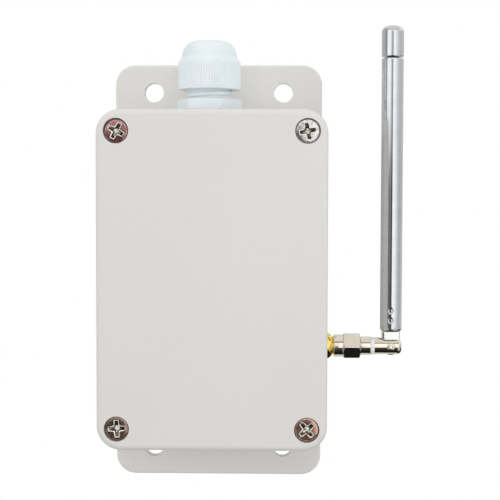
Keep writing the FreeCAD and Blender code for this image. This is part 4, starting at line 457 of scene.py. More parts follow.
class Shape:
    """Collects patches of quads in millimetres, then welds them into one closed mesh.

    place puts a point by its radius, angle and height, and angles are the steps round each ring.
    """

    def __init__(self, place=None, angles=()):
        self.place, self.angles = place, angles
        self.points, self.faces = [], []

    def quads(self, here, above, count, wrap=True):
        """Quads between two rows of points, each given by the number of its first point."""
        for k in range(count if wrap else count - 1):
            n = (k + 1) % count
            self.faces.append((here + k, here + n, above + n, above + k))

    def rows(self, profile, close=False):
        """Patches between rings; each row is (radius, height), and either may follow the angle."""
        start, count = len(self.points), len(self.angles)
        for radius, height in profile:
            for angle in self.angles:
                r = radius(angle) if callable(radius) else radius
                h = height(angle) if callable(height) else height
                self.points.append(self.place(r, angle, h))
        for row in range(len(profile) if close else len(profile) - 1):
            self.quads(start + row * count, start + (row + 1) % len(profile) * count, count)
        return self

    def ring(self, profile):
        """Rows whose last one meets the first, as in a tube or a nut."""
        return self.rows(profile, close=True)

    def thread(self, thread, steps):
        """The helical patch of a thread, its rows sheared to follow the helix, so many to a turn."""
        start, count = len(self.points), len(self.angles)
        rise = thread.pitch / steps
        total = int(ceil((thread.high - thread.low) / rise)) + steps
        for row in range(total + 1):
            for angle in self.angles:
                turn = (angle - self.angles[0]) / (2 * pi)
                height = thread.low + (row - steps) * rise + thread.pitch * turn
                height = min(max(height, thread.low), thread.high)
                self.points.append(self.place(thread.at(angle, height), angle, height))
        for row in range(total):
            above = start + (row + 1) * count
            self.quads(above - count, above, count, wrap=False)
            right, top = (start + min(row + turn, total) * count for turn in (steps, steps + 1))
            self.faces.append((above - 1, right, top, above + count - 1))
        return self

    def cap(self, radius, height):
        """A flat disc that closes one end."""
        start, count = len(self.points), len(self.angles)
        self.points.extend(self.place(radius, angle, height) for angle in self.angles)
        self.points.append(self.place(0.0, 0.0, height))
        self.faces.extend((start + k, start + (k + 1) % count, start + count) for k in range(count))
        return self

    def solid(self, profile):
        """Rings from the first row to the last, with a disc at both ends."""
        return self.cap(*profile[0]).rows(profile).cap(*profile[-1])

    def block(self, x, z, width, height, low, high, bevel):
        """A bevelled block on the board, from a low to a high place over the board's face."""
        near = Vector((x - width / 2, -BOARD_FRONT - high, z - height / 2))
        far = Vector((x + width / 2, -BOARD_FRONT - low, z + height / 2))
        size, centre = far - near, (far + near) / 2
        work = bmesh.new()
        bmesh.ops.create_cube(work, size=1.0)
        for vertex in work.verts:
            vertex.co = vertex.co * size + centre
        bmesh.ops.bevel(work, geom=work.edges[:], offset=bevel, segments=2, profile=0.5, affect="EDGES")
        start = len(self.points)
        work.verts.index_update()
        self.points.extend(vertex.co.copy() for vertex in work.verts)
        self.faces.extend(tuple(start + v.index for v in face.verts) for face in work.faces)
        work.free()

    def mesh(self, name, sharp, indices=()):
        """The welded mesh, with edges sharper than so many degrees kept sharp."""
        mesh = bpy.data.meshes.new(name)
        mesh.from_pydata([point * MM for point in self.points], [], self.faces)
        if indices:
            mesh.polygons.foreach_set("material_index", indices)
        work = bmesh.new()
        work.from_mesh(mesh)
        bmesh.ops.remove_doubles(work, verts=work.verts[:], dist=WELD)
        bmesh.ops.dissolve_degenerate(work, edges=work.edges[:], dist=SLIVER)
        bmesh.ops.recalc_face_normals(work, faces=work.faces[:])
        work.to_mesh(mesh)
        work.free()
        mesh.shade_smooth()
        mesh.set_sharp_from_angle(angle=radians(sharp))
        return mesh

    def piece(self, name, look):
        """The finished object, an addition to the board."""
        add_piece(self.mesh(name, BOARD_SHARP), name, look, "root")

    def replace(self, node, kind, look, sharp, body="root", *faces):
        """The finished object, standing for a CAD node and named after it."""
        name = node + "_" + kind
        add_piece(self.mesh(name, sharp), name, look, body, [node], faces)


def add_object(name, data):
    """A new object in the scene."""
    thing = bpy.data.objects.new(name, data)
    bpy.context.scene.collection.objects.link(thing)
    return thing


def add_piece(mesh, name, look, body, nodes=(), faces=()):
    """An object from a mesh, with its material, its body and the CAD nodes it stands for.

    faces names the looks of the mesh's material indices where it has more than one.
    """
    thing = add_object(name, mesh)
    for index, face_look in enumerate(faces or [look]):
        if index < len(mesh.materials):
            mesh.materials[index] = looks[face_look]
        else:
            mesh.materials.append(looks[face_look])
    even_out = thing.modifiers.new("even normals", "WEIGHTED_NORMAL")
    even_out.keep_sharp = True
    if nodes:
        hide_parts(*nodes)
    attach(thing, body)


def carve(mesh, cutter, name, sharp, slots):
    """The mesh with another mesh cut out of it; cut faces keep the cutter's material index."""
    for part in (mesh, cutter):
        for _ in range(slots):
            part.materials.append(None)
    first, second = add_object(name + "_work", mesh), add_object(name + "_cutter", cutter)
    cut = first.modifiers.new("cut", "BOOLEAN")
    cut.operation = "DIFFERENCE"
    cut.solver = "EXACT"
    cut.object = second
    bpy.context.view_layer.update()
    result = bpy.data.meshes.new_from_object(first.evaluated_get(bpy.context.evaluated_depsgraph_get()))
    result.name = name
    for thing in (first, second):
        bpy.data.objects.remove(thing)
    result.shade_smooth()
    result.set_sharp_from_angle(angle=radians(sharp))
    return result


# Lid screws: the material indices of a screw's faces; the edge and recess looks carry painted glints and
# painted shade
FACE, EDGE, RECESS, SHANK = range(4)
# Distance in front of the head's face, length and width of the cross, from its mouth to its floor
CROSS_LEVELS = [(0.5, 6.5, 2.56), (-0.02, 5.8, 1.84), (-0.26, 5.2, 1.3), (-0.8, 4.1, 1.12),
                (-1.25, 3.0, 1.0), (-1.5, 1.7, 0.7)]


def cross_outline(length, width):
    """The outline of a driver's cross, with its inner corners cut off."""
    end, side, inner = length / 2, width / 2, width / 2 + 0.3
    quarter = [(end, -side * 0.86), (end, side * 0.86), (inner, side), (side, inner)]
    return [(x * cos(a) - z * sin(a), x * sin(a) + z * cos(a)) for a in even(4) for x, z in quarter]


def cross_cutter(front):
    """A tapered driver cross with a broken edge at its mouth, pointing at the viewer."""
    cutter = Shape()
    for rise, length, width in CROSS_LEVELS:
        outline = cross_outline(length, width)
        cutter.points.extend(Vector((x, -front - rise, z)) for x, z in outline)
    sides, last = len(outline), len(CROSS_LEVELS) - 1
    indices = []
    # The mouth's chamfer takes the edge look with its painted glints, and the deeper walls take the recess
    # look with its painted shade.
    for level in range(last):
        cutter.quads(level * sides, (level + 1) * sides, sides)
        indices += [EDGE if level < 2 else RECESS] * sides
    cutter.faces.append(tuple(range(sides)))
    cutter.faces.append(tuple(last * sides + k for k in reversed(range(sides))))
    # The cap above the mouth takes the face look, and the recess floor takes the edge look as a painted
    # bright spot.
    return cutter.mesh("cross_cutter", 24.0, indices + [FACE, EDGE])


def lid_screw(x, z, turn, tilt):
    """A flat pan-head screw with a tapered cross recess and a helical thread.

    turn is the cross's, and tilt leans the head to the side and up, all in degrees.
    """
    front, tip = (-depth for depth in span("lid_screws", Y))
    under, neck, start = front - 2.4, front - 4.5, tip + 0.9
    bolt, point, flat, groove, pitch = 1.95, 0.55, 0.7, 0.42, 1.5
    shank = Thread(bolt, groove, pitch, start, neck, crest=0.14, root=0.34, runout=(0.0, 1.2))
    shape = Shape(forward(x, z), even(72))
    shape.cap(point, tip).rows([(point, tip), shank.ends(start)]).thread(shank, 8)
    rim = SCREW_HEAD_RADIUS + 0.22
    rows = [shank.ends(neck), (bolt, neck + 0.8), (bolt, under), (rim - 0.3, under),
            (rim - 0.06, under + 0.07), (rim, under + 0.25), (rim, front - 0.5)]
    rows += arc(rim - 0.3, front - 0.42, 0.3, 6, 72, 6)
    rows += [(3.1, front - 0.08), (2.4, front - 0.045), (1.6, front - 0.02), (flat, front)]
    body = shape.rows(rows).cap(flat, front).mesh("lid_screw_body", 40.0)
    tool = cross_cutter(front)
    tool.transform(Matrix.Translation(Vector((x, 0, z)) * MM) @ Matrix.Rotation(-radians(turn), 4, "Y"))
    result = carve(body, tool, "lid_screw", 24.0, slots=4)
    head = front - 0.9
    for face in result.polygons:
        if face.material_index == FACE and -face.center.y / MM < head:
            face.material_index = SHANK
    pivot = Vector((x, -front, z)) * MM
    lean = Matrix.Rotation(radians(tilt[0]), 4, "Z") @ Matrix.Rotation(radians(tilt[1]), 4, "X")
    result.transform(Matrix.Translation(pivot) @ lean @ Matrix.Translation(-pivot))
    return result


# Each screw's corner, place, cross turn, lean and face look; the crimson and reddish looks are partly
# painted reflection.
SCREWS = [
    ("top_left", -SCREW_X, SCREW_Z, 62.0, (-1.5, 0.0), "screw_crimson_with_painted_reflection"),
    ("top_right", SCREW_X, SCREW_Z, 12.0, (2.2, 0.6), "screw_clean"),
    ("bottom_left", -SCREW_X, -SCREW_Z, 3.0, (0.0, 0.0), "screw_brown"),
    ("bottom_right", SCREW_X, -SCREW_Z, 40.0, (-2.5, 0.0), "screw_reddish_with_painted_reflection"),
]
# Each screw gets its face look, the edge look with painted glints, the recess look with painted shade and
# glints, and plain plate for the shank.
for corner, *place, face in SCREWS:
    add_piece(lid_screw(*place), "lid_screw_" + corner, "screw_nickel", "lid", ["lid_screws"],
              [face, "screw_edge_painted_glints", "screw_recess_painted_shade", "screw_nickel"])


# Cable gland: how far its body is turned, the radius of its threads, and their pitches and depths
GLAND_TURN, GLAND_RADIUS = -6.9, 7.6
WALL_PITCH, WALL_DEPTH = 1.411, 0.45
NECK_PITCH, NECK_DEPTH = 2.2, 0.62


def gland_body():
    """Body of the gland: wall thread, hexagon, and the coarse rounded thread of its neck."""
    low, high = span("gland_body", Z)
    hex_low, hex_high, seat = low + 9.5, low + 13.4, low + 14.65
    wall = Thread(GLAND_RADIUS, WALL_DEPTH, WALL_PITCH, low, hex_low, crest=0.16, root=0.1,
                  runout=(0.0, 0.5), lead=(0.35, 0.0))
    neck = Thread(GLAND_RADIUS, NECK_DEPTH, NECK_PITCH, hex_high, high, crest=0.34, root=0.16,
                  runout=(0.55, 0.0), lead=(0.0, 0.35))
    hexagon = hex_rows(19.2, hex_low, hex_high, GLAND_TURN, clip=0.99, edge=-0.5)
    shape = Shape(ON_GLAND, hex_angles(GLAND_TURN))
    shape.rows([wall.ends(hex_low)] + hexagon + [neck.ends(hex_high)])
    shape.thread(neck, 14).thread(wall, 10)
    shape.rows([neck.ends(high), (6.5, high), (6.3, high - 0.2), (6.3, seat), (4.6, seat), (4.6, low + 0.6),
                (5.1, low), wall.ends(low)])
    shape.replace("gland_body", "threaded", "gland_nylon", 34.0)


def dome_nut():
    """Dome nut with its fine ribs, which run out over the chamfer."""
    ribs, steps_of_a_rib = 72, 6
    low, high = span("gland_dome_nut", Z)
    skirt, dome = low + 9.1, low + 11.0

    def rib(radius, depth):
        return lambda a: radius - depth * (0.5 - 0.5 * cos(ribs * a)) ** 1.3

    outer = [(10.15, low)] + [(rib(radius, depth), height) for radius, depth, height in (
        (10.3, 0.03, low + 0.03), (10.43, 0.12, low + 0.12), (10.5, 0.24, low + 0.34),
        (10.5, 0.25, low + 2.25), (10.5, 0.25, low + 4.5), (10.5, 0.25, low + 6.75),
        (10.5, 0.25, skirt - 0.4), (10.45, 0.25, skirt - 0.08), (10.33, 0.24, skirt + 0.22),
        (9.95, 0.22, skirt + 0.85), (9.58, 0.17, dome - 0.45), (9.36, 0.1, dome - 0.12),
        (9.26, 0.04, dome + 0.08))] + [(9.2, dome + 0.3)]
    for angle in swing(0, 90, 16)[1:]:
        radius = 4.9 + 4.3 * cos(angle) - 0.16 * sin(2 * angle)
        outer.append((radius, dome + 0.3 + (high - dome - 0.3) * sin(angle)))
    outer += [(4.6, high - 0.04), (4.38, high - 0.18), (4.3, high - 0.4)]
    cavity_top, cavity_low = high - 2.0, span("gland_clamp", Z)[0] + 7.25
    inner = [(4.3, cavity_top), (5.55, cavity_top), (6.5, cavity_low), (7.65, cavity_low),
             (7.65, low + 0.3), (7.95, low)]
    Shape(ON_GLAND, even(ribs * steps_of_a_rib)).ring(outer + inner).replace(
        "gland_dome_nut", "ribbed", "gland_nylon", 40.0, "gland_nut")


def lock_nut():
    """Lock nut inside the enclosure; its bore is plain, because the gland's thread fills it."""
    low, high = span("gland_lock_nut", Z)
    inner = [(7.95, high), (7.66, high - 0.3), (7.66, low + 0.3), (7.95, low)]
    rows = hex_rows(21.0, low, high, 0.0, clip=0.985, edge=0.15) + inner
    Shape(ON_GLAND, hex_angles(0.0)).ring(rows).replace("gland_lock_nut", "hex", "gland_nylon", 30.0)


gland_body()
dome_nut()
lock_nut()


# Connector and antenna: width of its hexagons across their flats, and the nuts' bore
JACK_HEX, JACK_BORE = 8.0, 3.226
# Outer radii of the mast's tubes, their wall, and how far the stake marks are turned from the front
TUBE_RADII = [3.7, 3.15, 2.6, 2.1, 1.55]
TUBE_WALL = 0.3
STAKE_TURN = radians(-5.0)
# The tube's rolled foot starts this much above the solid's flat end
FOOT_RISE = 0.3


def jack_shell():
    """Connector shell: tail, hexagonal flange and the thread out through the wall."""
    low, high = span("jack_shell", X)
    flange, front = low + 6.0, low + 8.0
    radius, depth, pitch = 3.175, 0.24, 0.706
    thread = Thread(radius, depth, pitch, front, high, crest=0.42, root=0.04, runout=(0.3, 0.0),
                    lead=(0.0, 0.25))
    shape = Shape(ON_JACK, hex_angles(0.0))
    shape.rows([(2.05, low), (2.35, low), (2.5, low + 0.15), (2.5, flange)]
               + hex_rows(JACK_HEX, flange, front, 0.0, clip=0.99, edge=0.06) + [thread.ends(front)])
    shape.thread(thread, 8).rows([thread.ends(high), (2.2, high), (2.05, high - 0.15), (2.05, low)])
    shape.replace("jack_shell", "threaded", "gold_plate", 30.0)


def panel_nut():
    """Gold nut against the wall, turned down to a cone at its outer face."""
    turn = 99.6
    low, high = span("jack_panel_nut", X)
    face = high + 0.2
    shape = hex_radius(JACK_HEX, turn, 4.5)
    rows = [(clipped(shape, 3.9 + 0.65 * share), low + 0.3 * share) for share in (0.0, 0.3, 0.65, 1.0)]
    rows += [(clipped(shape, 4.5 - 0.85 * share), face - 1.15 * (1 - share))
             for share in (0.0, 0.15, 0.35, 0.55, 0.75, 0.9, 1.0)]
    rows += [(3.42, face), (JACK_BORE, high), (JACK_BORE, low + 0.15), (3.4, low)]
    Shape(ON_JACK, hex_angles(turn)).ring(rows).replace("jack_panel_nut", "hex", "gold_plate", 28.0)


def lock_washer():
    """Toothed washer under the panel nut."""
    teeth, bore = 16, 3.23
    low, high = span("jack_lock_washer", X)
    low, high = low + 0.02, high - 0.02

    def toothed(angle):
        wave = (angle * teeth / (2 * pi)) % 1.0
        return 3.72 + 0.56 * min(max((abs(wave - 0.5) * 2 - 0.35) / 0.3, 0.0), 1.0)

    Shape(ON_JACK, even(128)).ring([(bore, low), (toothed, low), (toothed, high), (bore, high)]).replace(
        "jack_lock_washer", "toothed", "gold_plate", 28.0)


def coupling_nut():
    """Coupling nut of the plug: a round sleeve, a shallow neck and a hexagon."""
    low, high = span("plug_coupling_nut", X)
    step = low + 3.2
    sleeve = [(3.3, low), (3.6, low), (3.74, low + 0.06), (3.8, low + 0.2), (3.8, step - 0.34),
              (3.76, step - 0.25), (3.6, step - 0.2), (3.6, step)]
    hexagon = hex_rows(JACK_HEX, step, high, 90.0, clip=0.985, edge=0.16)
    inner = [(2.75, high), (2.65, high - 0.1), (2.65, high - 1.1), (JACK_BORE, high - 1.1),
             (JACK_BORE, low + 0.15)]
    Shape(ON_JACK, hex_angles(90.0)).ring(sleeve + hexagon + inner).replace(
        "plug_coupling_nut", "hex", "nickel_plate", 26.0, "coupling_nut")


def plug_rear():
    """Plug body: flange and neck inside the nut, and the bright round rear end."""
    low, high = span("plug_body", X)
    flange, neck, socket = low + 1.8, high - 3.4, high - 1.3
    Shape(ON_JACK, even(72)).solid([
        (3.12, low), (3.12, flange), (2.6, flange), (2.6, neck), (3.0, neck), (3.1, neck + 0.04),
        (3.15, neck + 0.14), (3.15, high - 0.14), (3.1, high - 0.04), (3.0, high), (1.45, high),
        (1.45, socket),
    ]).replace("plug_body", "turned", "nickel_plate", 28.0)


def insulator_ring():
    """White ring between plug and elbow, its edges slightly rounded."""
    low, high = span("plug_insulator", X)
    rows = arc(2.85, low + 0.15, 0.15, -90, 0, 3) + arc(2.85, high - 0.15, 0.15, 0, 90, 3)
    Shape(ON_JACK, even(72)).ring([(1.45, low)] + rows + [(1.45, high)]).replace(
        "plug_insulator", "ring", "white_insulator", 40.0)


def mast_foot():
    """Flat blade with softly rounded edges and a rivet hole, and the plug inside the outer tube."""
    half, thick, rivet = 3.09, 1.9, 0.85
    back, front = -JACK_Y - thick / 2, -JACK_Y + thick / 2
    foot, plug_top = span("mast_tube_1", Z)[0] + FOOT_RISE, span("mast_foot", Z)[1]
    top = foot - JACK_Z

    def outline(inset):
        def reach(angle):
            side, up = abs(cos(angle)), sin(angle)
            if up <= 0:
                return half - inset
            return min((half - inset) / max(side, 1e-6), (top - inset) / up)
        return reach

    corner = atan2(top, half)
    angles = sorted(set(even(120)) | {corner, pi - corner})
    rows = [(rivet, back), (outline(0.3), back), (outline(0.09), back + 0.09), (outline(0.0), back + 0.3)]
    rows += [(outline(0.75 * (1 - cos(angle))), front - 0.38 * (1 - sin(angle)))
             for angle in swing(0, 90, 8)]
    shape = Shape(forward(middle("antenna_rivet", X), JACK_Z), angles).ring(rows + [(rivet, front)])
    shape.place, shape.angles = ON_MAST, even(72)
    shape.solid([(2.8, foot + 0.02), (3.0, foot + 1.4), (3.0, foot + 9.2), (3.36, foot + 9.4),
                 (3.36, plug_top - 0.2), (3.2, plug_top)])
    shape.replace("mast_foot", "blade", "nickel_plate", 30.0, "mast", "foot_polish")


def staked(height, marks):
    """A row of the outer tube, pressed in where two ball points struck its front."""
    radius, ball, depth = TUBE_RADII[0], 1.4, 0.46
    reach = radius + ball - depth

    def pressed(angle):
        away = angle + pi / 2 - STAKE_TURN
        best = radius
        for centre in marks:
            inside = ball ** 2 - (height - centre) ** 2 - (reach * sin(away)) ** 2
            if inside > 0 and cos(away) > 0:
                best = min(best, reach * cos(away) - sqrt(inside))
        return best
    return (pressed, height)


def outer_tube():
    """Outer tube of the mast: drawn in at the foot, staked at the front and rolled in at the top."""
    radius, bore, lip = TUBE_RADII[0], TUBE_RADII[0] - TUBE_WALL, TUBE_RADII[1] + 0.05
    low, high = span("mast_tube_1", Z)
    foot = low + FOOT_RISE
    outer = [(2.85, foot)]
    outer += [(radius - 0.55 * (1 - sin(angle)), foot + 0.85 * (1 - cos(angle)))
              for angle in swing(0, 90, 8)]
    height = low + 2.1
    while height < low + 9.2:
        outer.append(staked(height, (low + 4.0, low + 7.3)))
        height += 0.14
    outer += [(radius, low + 9.6), (radius, 20.0), (radius, 50.0), (radius, high - 0.6)]
    outer += arc(radius - 0.4, high - 0.4, 0.4, 10, 90, 5)
    outer += [(lip + 0.05, high - 0.02), (lip, high - 0.1), (lip, high - 0.7), (bore, high - 0.7),
              (bore, low + 1.4)]
    fine_at_front = [radians(-130 + step * 1.25) for step in range(64)]
    round_the_back = [radians(step) for step in range(-50, 230, 5)]
    Shape(ON_MAST, fine_at_front + round_the_back).ring(outer).replace(
        "mast_tube_1", "rolled", "antenna_chrome", 34.0, "mast")


def inner_tube(index):
    """A telescopic section: sliding collar, wall, and rolled lip."""
    node = "mast_tube_%d" % (index + 1)
    radius, bore = TUBE_RADII[index], TUBE_RADII[index] - TUBE_WALL
    collar = TUBE_RADII[index - 1] - TUBE_WALL - 0.05
    lip = (TUBE_RADII + [1.0])[index + 1] + 0.05
    low, top = span(node, Z)
    rows = [(bore, low), (collar - 0.1, low), (collar, low + 0.12), (collar, low + 3.85),
            (collar - 0.12, low + 4.0), (radius + 0.02, low + 4.0), (radius, low + 4.1),
            (radius, top - 0.22)]
    rows += arc(radius - 0.2, top - 0.2, 0.2, 0, 90, 4)
    rows += [(lip + 0.03, top), (lip, top - 0.05), (lip, top - 0.7), (bore, top - 0.7)]
    Shape(ON_MAST, even(64)).ring(rows).replace(
        node, "rolled", "antenna_chrome", 34.0, "mast_%d" % (index + 1))


def tip_rod():
    """Innermost rod with its collar."""
    low, high = span("tip_rod", Z)
    Shape(ON_MAST, even(40)).solid([
        (1.05, low), (1.2, low + 0.15), (1.2, low + 3.85), (1.05, low + 4.0), (1.0, low + 4.0), (1.0, high),
    ]).replace("tip_rod", "turned", "antenna_chrome", 34.0, "mast_tip")


def tip_cap():
    """Round-topped cap with a softly broken lower edge."""
    low, high = span("tip_cap", Z)
    bore_top = span("tip_rod", Z)[1]
    radius, crown, crown_angle = 3.76, 2.1, 78
    skirt = low - 0.24
    rows = [(1.0, bore_top), (1.0, skirt), (radius - 0.24, skirt), (radius - 0.08, skirt + 0.04),
            (radius - 0.01, skirt + 0.14), (radius, skirt + 0.34), (radius, high - crown)]
    rows += [(radius * cos(angle) ** 0.9,
              high - crown + crown * sin(angle) / sin(radians(crown_angle)))
             for angle in swing(0, crown_angle, 14)[1:]]
    Shape(ON_MAST, even(96)).solid(rows + [(0.8, high)]).replace(
        "tip_cap", "turned", "antenna_chrome", 34.0, "mast_tip")


jack_shell()
panel_nut()
lock_washer()
coupling_nut()
plug_rear()
insulator_ring()
mast_foot()
outer_tube()
for index in range(1, len(TUBE_RADII)):
    inner_tube(index)
tip_rod()
tip_cap()


# Small parts on the circuit board: the first place, height and number of each row, and their spacing
PART_ROWS = [(-24.5, -26.0, 6), (-23.0, -29.8, 5), (15.5, -13.0, 4), (16.5, -17.2, 4), (-1.5, -15.5, 4),
             (-6.5, -33.0, 2)]
PART_PITCH = 3.5


def small_parts():
    """Rows of small resistors and capacitors with tinned ends, and two transistors with their legs."""
    dark, pale, ends, joints = Shape(), Shape(), Shape(), Shape()
    for first, z, count in PART_ROWS:
        for k in range(count):
            x = first + PART_PITCH * k
            body = dark if (k + count) % 2 else pale
            body.block(x, z, 1.15, 0.86, 0.02, 0.5, 0.05)
            for side in (-1, 1):
                ends.block(x + side * 0.68, z, 0.3, 0.9, 0.0, 0.53, 0.06)
                joints.block(x + side * 0.95, z, 0.5, 1.05, 0.0, 0.16, 0.06)
    for x, z in ((-4.2, -25.2), (25.5, -27.0)):
        dark.block(x, z, 2.9, 1.4, 0.1, 1.05, 0.12)
        for leg, side in ((-0.95, -1), (0.95, -1), (0.0, 1)):
            ends.block(x + leg, z + side * 0.95, 0.42, 0.75, 0.02, 0.3, 0.08)
    dark.piece("board_resistors", "chip_black")
    pale.piece("board_capacitors", "lead_brown")
    ends.piece("board_part_ends", "steel_fittings")
    joints.piece("board_part_joints", "solder")


def board_outlines():
    """Printed outlines round the larger parts."""
    shape = Shape()
    line, rise, room = 0.16, 0.025, 1.0
    for node in ("relay", "power_supply", "film_capacitor", "terminal_block", "fuse_base", "receiver_board",
                 "learn_button_housing"):
        (left, right), (low, high) = span(node, X), span(node, Z)
        x, z, width, height = (left + right) / 2, (low + high) / 2, right - left + room, high - low + room
        for side in (-1, 1):
            shape.block(x, z + side * height / 2, width + line, line, -0.01, rise, 0.01)
            shape.block(x + side * width / 2, z, line, height - line * 0.8, -0.01, rise * 0.9, 0.01)
    shape.piece("board_outlines", "white_insulator")


def board_pads():
    """Tinned rings under the board screws, and a scatter of plated holes."""
    shape = Shape()

    def pad(x, z, count, hole, hole_top, rim, foot, rise):
        shape.place, shape.angles = forward(x, z), even(count)
        base = BOARD_FRONT - 0.02
        top = BOARD_FRONT + rise
        shape.ring([(hole, base), (hole_top, top), (rim, top), (foot, base)])

    near_x, far_x = span("board_screws", X)
    far_z = span("board_screws", Z)[1]
    inset = 2.55
    for side in (-1, 1):
        for end in (-1, 1):
            pad(side * (far_x - inset), end * (far_z - inset), 40, 1.7, 1.7, 3.1, 3.15, 0.03)
    holes, step_x, step_z, first_z, depth = 22, 17.3, 5.9, -21.5, 17.0
    reach = (far_x - near_x) / 2 * 0.82
    for k in range(holes):
        x, z = (k * step_x) % (2 * reach) - reach, first_z - (k * step_z) % depth
        pad(x, z, 16, 0.18, 0.2, 0.36, 0.4, 0.035)
    shape.piece("board_pads", "solder")


def relay_case():
    """Step round the relay's foot, the seam of its cap, and the nib that vents it."""
    (left, right), (low, high) = span("relay", X), span("relay", Z)
    top = -span("relay", Y)[0]
    x, z = (left + right) / 2, (low + high) / 2
    shape = Shape(forward(left + 2.2, high - 2.2), even(32))
    shape.block(x, z, right - left + 0.5, high - low + 0.5, 0.3, 1.5, 0.15)
    shape.block(x, z, right - left + 0.22, high - low + 0.22, 1.5, top - BOARD_FRONT - 1.2, 0.4)
    shape.ring([(0.2, top - 0.1), (1.0, top - 0.1), (1.0, top + 0.25), (0.85, top + 0.4), (0.35, top + 0.4),
                (0.2, top + 0.3)])
    shape.piece("relay_case_trim", "relay_black")


def capacitor_top():
    """Aluminium top of the bulk capacitor, with its scored vent."""
    top = -span("bulk_capacitor", Y)[0]
    rim = top + 0.02

    def scored(radius):
        return lambda a: rim - 0.1 * max(0.0, 1 - abs(sin(1.5 * a)) * radius / 0.25)

    rows = [(0.02, rim)] + [(radius, scored(radius)) for radius in (0.4, 0.9, 1.5, 2.1, 2.7)]
    rows += [(3.05, rim), (3.15, top - 0.1), (3.1, top - 0.3)]
    Shape(ON_CAPACITOR, even(96)).solid(rows).piece("bulk_capacitor_top", "steel_fittings")


def capacitor_stripe():
    """The pale stripe down the bulk capacitor's sleeve."""
    low, top = BOARD_FRONT + 0.6, -span("bulk_capacitor", Y)[0]
    angles = [radians(200 + 4 * k) for k in range(15)]
    section = [(4.035, low), (4.035, top - 0.5), (3.9, top - 0.15), (3.7, top - 0.15), (3.7, low)]
    count, sides = len(angles), len(section)
    stripe = Shape()
    for radius, height in section:
        stripe.points.extend(ON_CAPACITOR(radius, angle, height) for angle in angles)
    for side in range(sides):
        stripe.quads(side * count, (side + 1) % sides * count, count, wrap=False)
    for end in (0, count - 1):
        stripe.faces.append(tuple(side * count + end for side in range(sides)))
    stripe.piece("bulk_capacitor_stripe", "white_insulator")


def fuse_wire():
    """The thin wire in the fuse, sagging a little between its caps."""
    left, right = span("fuse_glass", X)
    y, z = middle("fuse_glass", Y), middle("fuse_glass", Z)
    radius, sag, sides, steps = 0.11, 0.35, 10, 24

    def place(r, a, share):
        drop = sag * sin(pi * share)
        return Vector((left + (right - left) * share, y + r * cos(a), z - drop + r * sin(a)))

    wire = Shape(place, even(sides)).rows([(radius, step / steps) for step in range(steps + 1)])
    for ring in (0, steps):
        wire.faces.append(tuple(ring * sides + k for k in range(sides)))
    wire.piece("fuse_wire", "steel_fittings")


small_parts()
board_outlines()
board_pads()
relay_case()
capacitor_top()
capacitor_stripe()
fuse_wire()


# Studio

